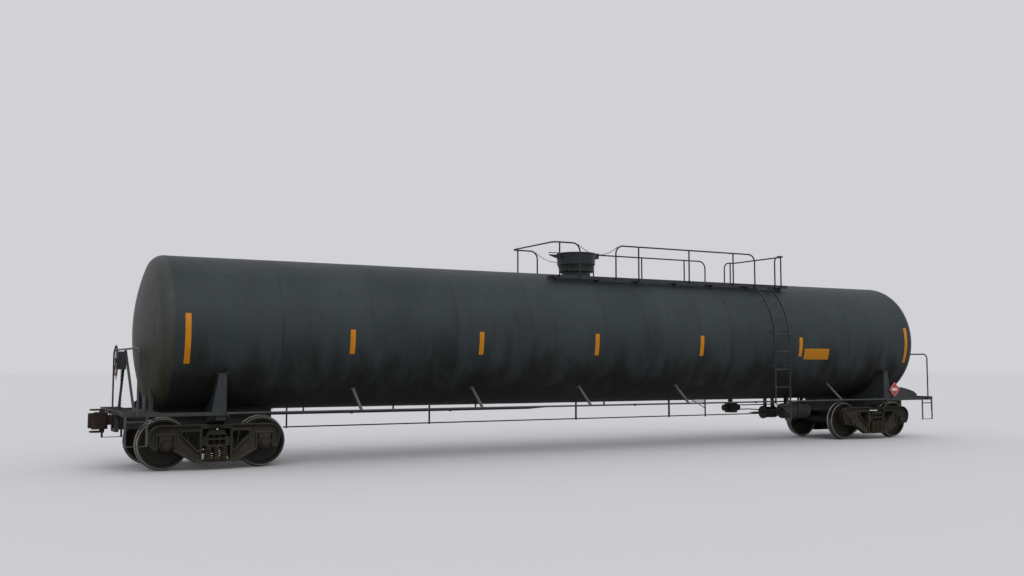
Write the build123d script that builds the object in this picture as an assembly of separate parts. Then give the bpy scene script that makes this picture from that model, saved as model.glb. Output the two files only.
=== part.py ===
from build123d import *
import math
import os

# Railway tank car with a jacketed pressure tank, stub sills and two three-piece trucks.
# Millimetres. X runs along the car, -Y is the side with the near ladder, +Z is up.
# The origin lies at the middle of the car, at the level of the wheel flanges' lowest points.

# Running gear
tread_radius = 457.2
flange_height = 25.4
wheelbase = 1778.0
truck_spacing = 16916.0
journal_spread = 1003.0
rail_z = flange_height
axle_z = rail_z + tread_radius
truck_x = truck_spacing / 2
wheel_back_y = 674.0
wheel_face_y = wheel_back_y + 145.0

# Tank
tank_radius = 1462.0
tank_bottom_height = 1026.0
tank_overhang = 832.0
head_crown_radius = 3700.0
head_knuckle_radius = 255.0
tank_axis_height = tank_bottom_height + tank_radius
tank_top_height = tank_axis_height + tank_radius
tank_seam_x = truck_x + tank_overhang
tank_z = rail_z + tank_axis_height

# Fits
seat = 0.3
running_fit = 0.05
moving_gap = 6.0
plate = 12.0

# Underframe heights above the rail
center_plate_height = 654.0
sill_bottom_height = 700.0
platform_beam_bottom = 974.0
platform_beam_top = platform_beam_bottom + 63.0
coupler_height = 864.0

# Stub sill
sill_half_width = 178.0
sill_wall = 16.0
sill_inboard = 1250.0
sill_pad_half_width = 330.0
sill_pad_thickness = 10.0
striker_x = tank_seam_x + 810.0
striker_thickness = 70.0
striker_half_width = 250.0
striker_overhang = 40.0

# Body bolster and its tank saddle
bolster_end_y = tank_radius - 42.0
bolster_flange_half_width = 165.0
bolster_flange_thickness = 14.0
saddle_top_height = tank_bottom_height + 694.0
post_inboard = 88.0
post_outboard_top = 52.0
post_outboard_foot = 172.0
saddle_cap = (230.0, 14.0)
saddle_cap_share = 0.8
center_plate_radius = 200.0
bearing_plate_y = 635.0
bolster_slope_run = 653.0
clip_reach = 500.0
jack_pad_height = 890.0
jack_pad = (180.0, 130.0)

# End frame and platform
beam_width = 60.0
side_sill_y = tank_radius - 12.0
deck_inner_x = striker_x - 300.0
deck_outer_x = striker_x + 40.0
deck_thickness = 25.0
outrigger_x = tank_seam_x + 245.0
head_post_y = 600.0
head_post_width = 60.0

# End railing, corner steps and side handrails
pipe_radius = 17.0
end_rail_x = deck_inner_x + 110.0
end_rail_y = side_sill_y + 50.0
end_rail_height = platform_beam_top + 1134.0
end_rail_bend = 120.0
step_legs_x = (deck_inner_x - 60.0, striker_x)
step_bottom_height = 465.0
step_bar_height = 880.0
step_leg = (40.0, 12.0)
step_tread_depth = 55.0
handrail_height = platform_beam_bottom + 41.0
handrail_support_x = (-5830.0, -3240.0, -630.0, 2010.0, 6790.0)
handrail_support_angle = 47.0
support_radius = 15.0
support_pad = (55.0, 10.0)

# Ladders
ladder_x = 4760.0
ladder_width = 470.0
ladder_bar = (50.0, 10.0)
ladder_standoff = 110.0
ladder_bottom_height = 960.0
ladder_step_height = 520.0
rung_radius = 10.0
rung_spacing = 425.0
first_rung_height = 930.0
ladder_standoff_angles = (-24.0, 8.0, 38.0)

# Top platform and its railings
platform_top_height = tank_top_height - 90.0
platform_thickness = 50.0
platform_edge = 10.0
platform_plate = 25.0
platform_x = (-1204.0, 5600.0)
platform_inner_y = 640.0
platform_bracket_count = 7
top_rail_y = 950.0
top_rail_height = platform_top_height + 720.0
top_rail_bend = 190.0
top_corner_bend = 120.0
left_loop_x = (-1220.0, -1070.0, -540.0)
right_loop_x = (5480.0, 5370.0, 5170.0)
side_rail_x = (420.0, 4520.0)
side_rail_posts_x = (1050.0, 2500.0, 3840.0)
chain_radius = 5.0
chain_end_radius = 9.0
chain_sag = 195.0

# Manway, protective housing and its fittings
housing_x = -50.0
neck_radius = 330.0
neck_flange = (405.0, tank_top_height + 85.0, tank_top_height + 125.0)
manway_cover = (455.0, neck_flange[2], neck_flange[2] + 55.0)
housing_radius = 440.0
housing_wall = 10.0
housing_ring_inner = 380.0
housing_top_height = manway_cover[2] + 320.0
lid_radius = housing_radius + 12.0
lid_thickness = 12.0
lid_skirt = 24.0
lid_skirt_wall = 6.0
hinge_offset = housing_radius + 135.0
hinge_height = housing_top_height + 20.0
hinge_pin_radius = 10.0
hinge_knuckle_radius = 22.0
hinge_half_width = 34.0
hinge_lug_width = 22.0
hasp_reach = 290.0
hasp_half_width = 30.0
hasp_depth = (110.0, 20.0)
relief_valve_table = (
    # radius, bottom above the cover, top above the cover
    (150.0, 0.0, 36.0),
    (92.0, 36.0, 210.0),
    (110.0, 210.0, 232.0),
    (70.0, 232.0, 275.0),
)
valve_ring_radius = 262.0
valve_body_radius = 42.0
valve_flange = (72.0, 24.0)
valve_height = 215.0
valve_outlet_height = 110.0
valve_outlet = (34.0, 95.0)
valve_wheel = (62.0, 14.0)
valve_angles = (0.0, 90.0, 180.0, 270.0)

# Placards
placard_side = 273.0
placard_thickness = 3.0
placard_height = 1260.0
placard_from_truck = 262.0
board_thickness = 8.0
board_outline = (
    # distance outboard of the truck centre, height above the rail
    (176.0, 1345.0),
    (540.0, 1305.0),
    (772.0, 1258.0),
    (958.0, 1209.0),
    (1086.0, 1135.0),
)
end_placard_y = 980.0
end_placard_height = 1760.0
end_placard_strap = (40.0, 4.0)

# Hand brake
stand_bar = (40.0, 50.0)
stand_apex = (-250.0, 2150.0)
stand_feet_y = (400.0, -1380.0)
brake_box = (110.0, 230.0, 330.0)
brake_wheel_height = 1960.0
brake_wheel_radius = 270.0
brake_wheel_rim = 11.0
brake_wheel_hub = (45.0, 46.0)
brake_wheel_spokes = 5

# Air brake gear below the tank
reservoir = (190.0, 900.0)
reservoir_center = (truck_x - 2258.0, -430.0, 730.0)
reservoir_flange = (215.0, 40.0)
cylinder_body = (140.0, 420.0)
cylinder_center = (truck_x - 2308.0, 430.0, 660.0)
hanger_thickness = 14.0
hanger_width = 120.0
hanger_share = 0.3
valve_block = (220.0, 230.0, 250.0)
valve_block_center = (truck_x - 3558.0, 455.0, 800.0)
valve_portion = (75.0, 130.0)
brake_pipe_y = 300.0
brake_pipe_height = platform_beam_bottom - 44.0
brake_pipe_end_x = striker_x - 115.0
brake_pipe_cross_x = (-1500.0, -700.0)
brake_pipe_clips_x = (-6600.0, -4700.0, -2800.0, 900.0, 2800.0, 4700.0, 6700.0)
cock_radius = 34.0
cock_reach = 95.0
cock_bore = (16.5, 45.0)
rod_radius = 13.0
rod_y = 110.0
rod_guides_x = (2500.0, -3800.0)
rod_end_x = truck_x - 1508.0
cylinder_lever_x = cylinder_center[0] - 590.0
lever_bar = (70.0, 20.0)

# Uncoupling levers
lever_radius = 11.0
lever_x = striker_x + 55.0
lever_height = 1000.0
lever_handle_y = side_sill_y - 55.0
lever_handle_height = 690.0
lever_inner_y = 30.0
lever_brackets_y = (330.0, 1240.0)

# Coupler, measured outboard of its own points
coupler_pin_x = striker_x - 720.0
coupler_pin_radius = 45.0
shank_half_width = 63.5
shank_half_height = 80.0
head_back_x = striker_x + 100.0
head_half_height = 150.0
head_outline = (
    # outboard of the head's back, sideways towards the guard arm
    (0.0, -100.0),
    (40.0, -150.0),
    (110.0, -172.0),
    (205.0, -172.0),
    (216.0, -120.0),
    (160.0, -50.0),
    (125.0, 10.0),
    (135.0, 95.0),
    (262.0, 152.0),
    (290.0, 190.0),
    (262.0, 214.0),
    (120.0, 175.0),
    (40.0, 145.0),
    (0.0, 100.0),
)
lug_corner = head_outline[3]
coupler_width = 400.0
knuckle_outline = (
    (150.0, -166.0),
    (215.0, -168.0),
    (288.0, -128.0),
    (326.0, -58.0),
    (318.0, 32.0),
    (272.0, 58.0),
    (226.0, 34.0),
    (220.0, -42.0),
    (186.0, -66.0),
)
knuckle_pivot = (155.0, -115.0)
knuckle_pin_radius = 20.0
knuckle_hub_radius = 50.0
knuckle_half_height = 135.0
knuckle_slot_half_height = 120.0
shelf = (185.0, 213.0)
shelf_rib = 60.0
shelf_outline = (
    (60.0, -110.0),
    (250.0, -110.0),
    (300.0, -60.0),
    (300.0, 80.0),
    (250.0, 140.0),
    (60.0, 140.0),
)

# Trucks, measured from the truck's centre
frame_thickness = 160.0
frame_top_height = 800.0
frame_bottom_height = 120.0
frame_end = wheelbase / 2 + 301.0
frame_end_bend = 230.0
pedestal_half_width = 135.0
pedestal_roof_height = 612.0
outer_jaw_height = 365.0
inner_jaw_height = 330.0
outer_jaw_end = wheelbase / 2 + 276.0
lower_chord_end = wheelbase / 2 - 509.0
window_half_width = 250.0
window_top_height = 720.0
spring_seat_height = 150.0
side_window = (
    # distance from the truck's centre, height above the rail
    (300.0, 672.0),
    (wheelbase / 2 - 299.0, 672.0),
    (wheelbase / 2 - 299.0, 600.0),
    (330.0, 340.0),
    (300.0, 340.0),
)
frame_pocket = 45.0
frame_flange = 34.0
bolster_half_width = 180.0
bolster_height = (390.0, 640.0)
bolster_middle_bottom = 330.0
bolster_middle_y = 620.0
bolster_half_length = journal_spread + 117.0
wedge = (180.0, 170.0)
bowl_radius = (204.0, 240.0)
bowl_rim_height = 676.0
side_bearing = (180.0, 90.0)
side_bearing_height = 745.0
bearing_plate_height = 752.0
spring_radius = 64.0
spring_pitch = 142.0
spring_rows_y = (journal_spread - 63.0, journal_spread + 69.0)
cup_radius = 124.0
cup_y = (journal_spread - 77.0, journal_spread + 79.0)
adapter_half_width = 112.0
beam_x = (wheelbase / 2 - 627.0, wheelbase / 2 - 559.0)
beam_height = (355.0, 425.0)
shoe_height = (285.0, 505.0)
shoe_y = (wheel_back_y + 54.0, wheel_face_y - 13.0)
shoe_gap = 9.0
shoe_reach = wheelbase / 2 - 419.0
truck_lever = (24.0, 70.0, 300.0, 600.0)

# Wheelset, one half: distance from the car's centre line, radius
hub_radius = 142.0
journal_radius = 79.0
wheelset_profile = (
    (0.0, 84.0),
    (560.0, 84.0),
    (620.0, 96.0),
    (652.0, 96.0),
    (652.0, hub_radius),
    (700.0, hub_radius),
    (716.0, 165.0),
    (722.0, 300.0),
    (706.0, 388.0),
    (wheel_back_y, 396.0),
    (wheel_back_y, tread_radius + 14.0),
    (wheel_back_y + 6.0, tread_radius + flange_height - 4.0),
    (wheel_back_y + 15.0, tread_radius + flange_height),
    (wheel_back_y + 24.0, tread_radius + flange_height - 5.0),
    (wheel_back_y + 31.0, tread_radius + 8.0),
    (wheel_back_y + 43.0, tread_radius + 1.5),
    (wheel_face_y - 9.0, tread_radius - 3.2),
    (wheel_face_y, tread_radius - 10.0),
    (wheel_face_y, 396.0),
    (752.0, 380.0),
    (748.0, 300.0),
    (756.0, 170.0),
    (778.0, hub_radius),
    (830.0, hub_radius),
    (830.0, 96.0),
    (journal_spread - 87.0, 96.0),
    (journal_spread - 87.0, journal_radius),
    (journal_spread + 85.0, journal_radius),
    (journal_spread + 85.0, 92.0),
    (journal_spread + 123.0, 92.0),
    (journal_spread + 131.0, 84.0),
    (journal_spread + 131.0, 0.0),
)


def block(x0, x1, y0, y1, z0, z1):
    middle = Pos((x0 + x1) / 2, (y0 + y1) / 2, (z0 + z1) / 2)
    return middle * Box(abs(x1 - x0), abs(y1 - y0), abs(z1 - z0))


def bar(start, end, radius):
    run = Vector(end) - Vector(start)
    return extrude(Plane(origin=start, z_dir=run) * Circle(radius), run.length)


def pipe(points, radius, bends):
    path = FilletPolyline(*points, radius=bends)
    return sweep(Plane(origin=path @ 0, z_dir=path % 0) * Circle(radius), path=path)


def upright(x, y, radius, z0, z1):
    return Pos(x, y, (z0 + z1) / 2) * Cylinder(radius, z1 - z0)


# A prism from a closed outline: in XY it rises along Z, in XZ and YZ it is centred on the plane.
def prism_up(points, z0, z1):
    return Pos(0, 0, z0) * extrude(make_face(Polyline(*points, close=True)), z1 - z0)


def prism_across(points, y, thickness):
    face = Plane.XZ * make_face(Polyline(*points, close=True))
    return Pos(0, y, 0) * extrude(face, thickness / 2, both=True)


def prism_along(points, x, thickness):
    face = Plane.YZ * make_face(Polyline(*points, close=True))
    return Pos(x, 0, 0) * extrude(face, thickness / 2, both=True)


def mirror_y(shape):
    return mirror(shape, about=Plane.XZ)


def turned(shape):
    return Rot(0, 0, 180) * shape


def both_sides(shape):
    return shape + mirror_y(shape)


# The tank with its dished heads, grown on all sides by a margin.
def tank(margin):
    radius = tank_radius + margin
    crown = head_crown_radius + margin
    knuckle = head_knuckle_radius + margin
    rise = radius - knuckle
    center_x = tank_seam_x - math.sqrt((crown - knuckle) ** 2 - rise**2)
    tip_x = center_x + crown
    slope = math.asin(rise / (crown - knuckle))
    joint = (center_x + crown * math.cos(slope), crown * math.sin(slope))
    crown_middle = (center_x + crown * math.cos(slope / 2), crown * math.sin(slope / 2))
    turn = (math.pi / 2 + slope) / 2
    knuckle_middle = (
        tank_seam_x + knuckle * math.cos(turn),
        rise + knuckle * math.sin(turn),
    )
    outline = [Line((-tank_seam_x, radius), (tank_seam_x, radius)), Line((-tip_x, 0), (tip_x, 0))]
    for side in (-1, 1):
        seam = (side * tank_seam_x, radius)
        shoulder = (side * joint[0], joint[1])
        outline.append(ThreePointArc(seam, (side * knuckle_middle[0], knuckle_middle[1]), shoulder))
        outline.append(
            ThreePointArc(shoulder, (side * crown_middle[0], crown_middle[1]), (side * tip_x, 0))
        )
    return Pos(0, 0, tank_z) * revolve(make_face(Curve() + outline), Axis.X)


tank_clearance = tank(seat)


# A band around the underside of the tank, between two places along the car.
def tank_band(x0, x1, half_width, thickness):
    inner = tank_radius + seat
    ring = Circle(inner + thickness) - Circle(inner)
    band = Pos(x0, 0, tank_z) * (Plane.YZ * extrude(ring, x1 - x0))
    return band & block(x0, x1, -half_width, half_width, 0, tank_z)


# Body bolster: webs, bottom flange with the centre plate, end posts and the pad on the tank.
def saddle():
    flange_top = rail_z + sill_bottom_height
    flange_bottom = flange_top - bolster_flange_thickness
    beam_bottom = rail_z + platform_beam_bottom
    beam_top = rail_z + platform_beam_top
    saddle_top = rail_z + saddle_top_height
    beam_y = side_sill_y - beam_width
    bearing_z = rail_z + bearing_plate_height + plate
    bearing_edge = bearing_plate_y + side_bearing[0] / 2 + plate
    inboard = -post_inboard
    outboard = post_outboard_top
    knee_y = bearing_edge + bolster_slope_run
    lower_edge = [
        (sill_half_width, flange_top),
        (bearing_edge - side_bearing[0] - 2 * plate, bearing_z),
        (bearing_edge, bearing_z),
    ]
    # a wide bolster runs level outside its knee
    if knee_y < beam_y - plate:
        lower_edge.append((knee_y, beam_bottom))
    lower_edge.append((beam_y, beam_bottom))
    web = lower_edge + [
        (beam_y, beam_top),
        (bolster_end_y, beam_top),
        (bolster_end_y, saddle_top),
        (saddle_cap_share * tank_radius, saddle_top),
        (sill_half_width, tank_z),
    ]
    side = prism_along(web, inboard + plate / 2, plate) + prism_along(web, outboard - plate / 2, plate)
    strip = lower_edge + [(y, z - bolster_flange_thickness) for y, z in reversed(lower_edge)]
    side += prism_along(strip, 0, 2 * bolster_flange_half_width)
    # the jacking pad below the bolster's sloping end
    pad_y = (beam_y - jack_pad[1] - plate, beam_y - plate)
    slope_run = min(bolster_slope_run, beam_y - bearing_edge)
    rise = beam_bottom - bearing_z
    pad_top = [
        bearing_z + rise * min(1.0, (y - bearing_edge) / slope_run) - bolster_flange_thickness / 2
        for y in pad_y
    ]
    pad_z = rail_z + jack_pad_height
    jack = ((pad_y[0], pad_z), (pad_y[1], pad_z), (pad_y[1], pad_top[1]), (pad_y[0], pad_top[0]))
    side += prism_along(jack, 0, jack_pad[0])
    post = (
        (inboard, beam_top),
        (inboard, saddle_top),
        (outboard, saddle_top),
        (post_outboard_foot, beam_top),
    )
    side += prism_across(post, bolster_end_y - plate / 2, plate)
    cap_inner = saddle_cap_share * tank_radius
    cap_x = (inboard + outboard) / 2
    side += block(
        cap_x - saddle_cap[0] / 2,
        cap_x + saddle_cap[0] / 2,
        cap_inner,
        bolster_end_y + plate,
        saddle_top,
        saddle_top + saddle_cap[1],
    )
    ring = Circle(tank_radius + seat + plate) - Circle(tank_radius + seat)
    pad = Pos(inboard - plate, 0, tank_z) * (Plane.YZ * extrude(ring, outboard - inboard + 2 * plate))
    pad &= block(-clip_reach, clip_reach, sill_pad_half_width + seat, 2 * tank_radius, 0, saddle_top)
    side += pad
    side += block(
        -side_bearing[1] / 2 - plate,
        side_bearing[1] / 2 + plate,
        bearing_plate_y - side_bearing[0] / 2 - plate,
        bearing_plate_y + side_bearing[0] / 2 + plate,
        rail_z + bearing_plate_height,
        bearing_z,
    )
    # the parts of the webs above the sill's pad stop short of it
    sill_pad = Circle(tank_radius + 2 * seat + sill_pad_thickness) - Circle(tank_radius)
    pad_room = Pos(-clip_reach, 0, tank_z) * (Plane.YZ * extrude(sill_pad, 2 * clip_reach))
    pad_edge = sill_pad_half_width + seat
    pad_room &= block(-clip_reach, clip_reach, -pad_edge, pad_edge, 0, tank_z)
    tank_room = Circle(tank_radius + seat)
    tank_room = Pos(-clip_reach, 0, tank_z) * (Plane.YZ * extrude(tank_room, 2 * clip_reach))
    pipe_room = bar(
        (-clip_reach, brake_pipe_y, rail_z + brake_pipe_height),
        (clip_reach, brake_pipe_y, rail_z + brake_pipe_height),
        pipe_radius + moving_gap,
    )
    side = side - tank_room - pad_room - pipe_room
    flange = block(
        -bolster_flange_half_width,
        bolster_flange_half_width,
        -sill_half_width,
        sill_half_width,
        flange_bottom,
        flange_top,
    )
    center_plate = upright(0, 0, center_plate_radius, rail_z + center_plate_height + seat, flange_bottom)
    return Pos(truck_x, 0, 0) * (side + mirror_y(side) + flange + center_plate)


# Stub sill: a box with the striker at its mouth, a pad on the tank and the coupler's pin.
def stub_sill():
    bottom = rail_z + sill_bottom_height
    mouth_top = rail_z + platform_beam_bottom
    inner_x = truck_x - sill_inboard
    low_x = outrigger_x + head_post_width / 2
    half_pocket = sill_half_width - sill_wall
    pocket = (bottom + sill_wall, mouth_top - sill_wall)
    sill = block(inner_x, low_x, -sill_half_width, sill_half_width, bottom, tank_z)
    sill -= tank_clearance
    sill += block(low_x, striker_x, -sill_half_width, sill_half_width, bottom, mouth_top)
    pad = tank_band(inner_x - 2 * sill_wall, tank_seam_x, sill_pad_half_width, sill_pad_thickness)
    sill += pad
    sill += block(
        striker_x - striker_thickness,
        striker_x,
        -striker_half_width,
        striker_half_width,
        bottom - striker_overhang,
        mouth_top,
    )
    sill -= block(
        inner_x + sill_wall, striker_x + sill_wall, -half_pocket, half_pocket, pocket[0], pocket[1]
    )
    pin = upright(
        coupler_pin_x, 0, coupler_pin_radius, pocket[0] - sill_wall / 2, pocket[1] + sill_wall / 2
    )
    return sill + pin


# Side sills, end sill, outriggers and the posts under the tank's head.
def end_frame():
    bottom = rail_z + platform_beam_bottom
    top = rail_z + platform_beam_top
    beam_y = side_sill_y - beam_width
    inboard_x = truck_x - post_inboard
    side = block(inboard_x, deck_outer_x, beam_y, side_sill_y, bottom, top)
    half = head_post_width / 2
    side += block(outrigger_x - half, outrigger_x + half, sill_half_width, beam_y, bottom, top)
    side += (
        block(
            outrigger_x - half,
            outrigger_x + half,
            head_post_y - half,
            head_post_y + half,
            bottom,
            tank_z - tank_radius / 2,
        )
        - tank_clearance
    )
    frame = both_sides(side)
    frame += block(striker_x - beam_width, striker_x, -beam_y, beam_y, bottom, top)
    return frame


def platform_deck():
    top = rail_z + platform_beam_top
    return block(
        deck_inner_x, deck_outer_x, -side_sill_y, side_sill_y, top, top + deck_thickness
    )


def end_railing():
    foot = rail_z + platform_beam_bottom
    top = rail_z + end_rail_height
    path = [
        (end_rail_x, -end_rail_y, foot),
        (end_rail_x, -end_rail_y, top),
        (end_rail_x, end_rail_y, top),
        (end_rail_x, end_rail_y, foot),
    ]
    rail = pipe(path, pipe_radius, end_rail_bend)
    for side in (-1, 1):
        rail += block(
            end_rail_x - 1.5 * pipe_radius,
            end_rail_x + 1.5 * pipe_radius,
            side * side_sill_y,
            side * end_rail_y,
            foot,
            rail_z + platform_beam_top,
        )
    return rail


def corner_step():
    leg_width, leg_thickness = step_leg
    inner_y = side_sill_y
    outer_y = side_sill_y + leg_thickness
    bottom = rail_z + step_bottom_height
    first_x = step_legs_x[0] - leg_width / 2
    last_x = step_legs_x[1] + leg_width / 2
    step = block(
        first_x,
        last_x,
        outer_y - step_tread_depth,
        outer_y,
        bottom,
        bottom + leg_thickness,
    )
    bar_z = rail_z + step_bar_height
    step += block(first_x, last_x, inner_y, outer_y, bar_z, bar_z + 2 * leg_thickness)
    for x in step_legs_x:
        top = rail_z + platform_beam_top - leg_thickness
        step += block(x - leg_width / 2, x + leg_width / 2, inner_y, outer_y, bottom, top)
    return step


# One side's handrail pipe in two lengths, each carried by struts from the tank.
def side_handrail():
    z = rail_z + handrail_height
    end_x = truck_x - post_inboard
    near_ladder = (ladder_x - ladder_width / 2, ladder_x + ladder_width / 2)
    spans = ((-end_x, near_ladder[0]), (near_ladder[1], end_x))
    bracket_z = (rail_z + platform_beam_bottom, rail_z + platform_beam_top)
    ladder_inner = tank_radius + ladder_standoff
    angle = math.radians(handrail_support_angle)
    rails = []
    for x0, x1 in spans:
        rail = bar((x0, end_rail_y, z), (x1, end_rail_y, z), pipe_radius)
        for x, step in ((x0, plate), (x1, -plate)):
            at_ladder = x in near_ladder
            low_y = end_rail_y if at_ladder else side_sill_y - beam_width
            high_y = ladder_inner + ladder_bar[0] if at_ladder else end_rail_y + pipe_radius
            rail += block(x, x + step, low_y, high_y, bracket_z[0], bracket_z[1])
        for x in handrail_support_x:
            if not x0 < x < x1:
                continue
            foot, middle, rim = (
                (x, reach * math.cos(angle), tank_z - reach * math.sin(angle))
                for reach in (
                    tank_radius + seat,
                    tank_radius + seat + support_pad[1] / 2,
                    tank_radius + seat + support_pad[1],
                )
            )
            rail += bar(foot, rim, support_pad[0])
            rail += bar(middle, (x, end_rail_y, z), support_radius)
        rails.append(rail)
    return rails


# The ladder rises straight to the tank's middle, then follows the tank to the top platform.
def ladder():
    inner = tank_radius + ladder_standoff
    outer = inner + ladder_bar[0]
    middle = inner + ladder_bar[0] / 2
    top = rail_z + platform_top_height - platform_thickness
    arc = Circle(outer) - Circle(inner)
    curved = Pos(0, 0, tank_z) * (Plane.YZ * extrude(arc, ladder_bar[1]))
    curved &= block(0, ladder_bar[1], 0, 2 * outer, tank_z, top)
    left_x = ladder_x - ladder_width / 2
    right_x = ladder_x + ladder_width / 2
    bottom = rail_z + ladder_bottom_height
    step_z = rail_z + ladder_step_height
    frame = Pos(left_x, 0, 0) * curved + Pos(right_x - ladder_bar[1], 0, 0) * curved
    frame += block(left_x, left_x + ladder_bar[1], inner, outer, bottom, tank_z)
    frame += block(right_x - ladder_bar[1], right_x, inner, outer, step_z, tank_z)
    angle_top = math.asin((top - tank_z) / middle)
    straight = tank_axis_height - first_rung_height
    path_length = straight + angle_top * middle
    for index in range(int(path_length / rung_spacing) + 1):
        along = index * rung_spacing
        angle = max(0.0, along - straight) / middle
        y = middle * math.cos(angle)
        z = tank_z + middle * math.sin(angle) if along > straight else (
            rail_z + first_rung_height + along
        )
        rung_start = left_x if z > bottom else right_x - ladder_width
        frame += bar((rung_start, y, z), (right_x, y, z), rung_radius)
    for degrees in ladder_standoff_angles:
        angle = math.radians(degrees)
        reach = tank_radius + seat
        foot = (reach * math.cos(angle), tank_z + reach * math.sin(angle))
        stop_y = middle * math.cos(angle) if degrees > 0 else middle
        stop = (stop_y, tank_z + middle * math.sin(angle))
        for x in (left_x + ladder_bar[1] / 2, right_x - ladder_bar[1] / 2):
            frame += bar((x, foot[0], foot[1]), (x, stop[0], stop[1]), rung_radius)
    brace_z = (bottom + ladder_bar[0] / 2, (bottom + step_z) / 2)
    frame += bar(
        (left_x + ladder_bar[1] / 2, middle, brace_z[0]),
        (right_x - ladder_bar[1] / 2, middle, brace_z[1]),
        rung_radius,
    )
    return frame - tank_clearance


# A walkway strip beside the tank's crown on brackets from the tank.
def top_platform():
    top = rail_z + platform_top_height
    bottom = top - platform_thickness
    outer_y = top_rail_y - pipe_radius - seat
    x0, x1 = platform_x
    strip = block(x0, x1, platform_inner_y, outer_y, top - platform_plate, top)
    strip += block(x0, x1, outer_y - platform_edge, outer_y, bottom, top)
    strip += block(x0, x1, platform_inner_y, platform_inner_y + platform_edge, bottom, top)
    strip += block(x0, x0 + platform_edge, platform_inner_y, outer_y, bottom, top)
    strip += block(x1 - platform_edge, x1, platform_inner_y, outer_y, bottom, top)
    gusset = (
        (platform_inner_y, top - platform_plate / 2),
        (outer_y - platform_edge / 2, top - platform_plate / 2),
        (outer_y - platform_edge / 2, bottom - plate),
        (outer_y - 5 * platform_edge, bottom - 14 * plate),
        (platform_inner_y, bottom - 14 * plate),
    )
    inset = 12 * plate
    pitch = (x1 - x0 - 2 * inset) / (platform_bracket_count - 1)
    for index in range(platform_bracket_count):
        strip += prism_along(gusset, x0 + inset + index * pitch, plate)
    return strip - tank_clearance


def railing_post(x, side):
    foot = rail_z + platform_top_height - platform_thickness
    return bar((x, side * top_rail_y, foot), (x, side * top_rail_y, rail_z + top_rail_height), pipe_radius)


# A loop of railing across the tank: corner, post and inner end along X.
def railing_loop(corner_x, post_x, end_x):
    foot = rail_z + platform_top_height - platform_thickness
    top = rail_z + top_rail_height
    span = abs(corner_x - end_x)
    bend = min(top_rail_bend, 0.52 * span)
    corner = min(top_corner_bend, 0.29 * span)
    path = [
        (end_x, -top_rail_y, foot),
        (end_x, -top_rail_y, top),
        (corner_x, -top_rail_y, top),
        (corner_x, top_rail_y, top),
        (end_x, top_rail_y, top),
        (end_x, top_rail_y, foot),
    ]
    loop = pipe(path, pipe_radius, (bend, corner, corner, bend))
    return loop + railing_post(post_x, -1) + railing_post(post_x, 1)


def side_rail(side):
    foot = rail_z + platform_top_height - platform_thickness
    top = rail_z + top_rail_height
    x0, x1 = side_rail_x
    y = side * top_rail_y
    rail = pipe([(x0, y, foot), (x0, y, top), (x1, y, top), (x1, y, foot)], pipe_radius, top_rail_bend)
    for x in side_rail_posts_x:
        rail += railing_post(x, side)
    return rail


# A slack chain between the bends of two rails, as a plain round arc.
def safety_chain(side):
    reach = (top_rail_bend + pipe_radius + seat + chain_end_radius) * math.sqrt(0.5)
    z = rail_z + top_rail_height - top_rail_bend + reach
    y = side * top_rail_y
    start = (left_loop_x[2] - top_rail_bend + reach, y, z)
    end = (side_rail_x[0] + top_rail_bend - reach, y, z)
    middle = ((start[0] + end[0]) / 2, y, z - chain_sag)
    arc = ThreePointArc(start, middle, end)
    chain = sweep(Plane(origin=arc @ 0, z_dir=arc % 0) * Circle(chain_radius), path=arc)
    return chain + Pos(*start) * Sphere(chain_end_radius) + Pos(*end) * Sphere(chain_end_radius)


def manway_neck():
    radius, bottom, top = neck_flange
    neck = upright(housing_x, 0, neck_radius, tank_z, rail_z + bottom) - tank_clearance
    return neck + upright(housing_x, 0, radius, rail_z + bottom, rail_z + top)


def manway_cover_plate():
    radius, bottom, top = manway_cover
    return upright(housing_x, 0, radius, rail_z + bottom, rail_z + top)


def protective_housing():
    base = rail_z + manway_cover[2]
    top = rail_z + housing_top_height
    drum = upright(housing_x, 0, housing_radius, base, top)
    drum -= upright(housing_x, 0, housing_radius - housing_wall, base + plate, top + plate)
    drum -= upright(housing_x, 0, housing_ring_inner, base - plate, base + 2 * plate)
    hinge_x = housing_x + hinge_offset
    hinge_z = rail_z + hinge_height
    for side in (-1, 1):
        inner_y = side * (hinge_half_width + moving_gap)
        outer_y = side * (hinge_half_width + moving_gap + hinge_lug_width)
        drum += block(
            housing_x + housing_radius - housing_wall,
            hinge_x + hinge_knuckle_radius,
            inner_y,
            outer_y,
            hinge_z - 5 * hinge_knuckle_radius,
            top,
        )
        drum += block(
            hinge_x - hinge_knuckle_radius,
            hinge_x + hinge_knuckle_radius,
            inner_y,
            outer_y,
            top - plate,
            hinge_z + hinge_knuckle_radius,
        )
    pin_end = hinge_half_width + moving_gap + hinge_lug_width / 2
    drum += bar((hinge_x, -pin_end, hinge_z), (hinge_x, pin_end, hinge_z), hinge_pin_radius)
    hasp_x = housing_x - housing_radius
    hasp_top = top - lid_skirt - 2 * moving_gap
    hasp = (
        (hasp_x + housing_wall / 2, hasp_top - hasp_depth[0]),
        (hasp_x + housing_wall / 2, hasp_top),
        (hasp_x - hasp_reach, hasp_top),
        (hasp_x - hasp_reach, hasp_top - hasp_depth[1]),
    )
    return drum + prism_across(hasp, 0, 2 * plate)


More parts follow.
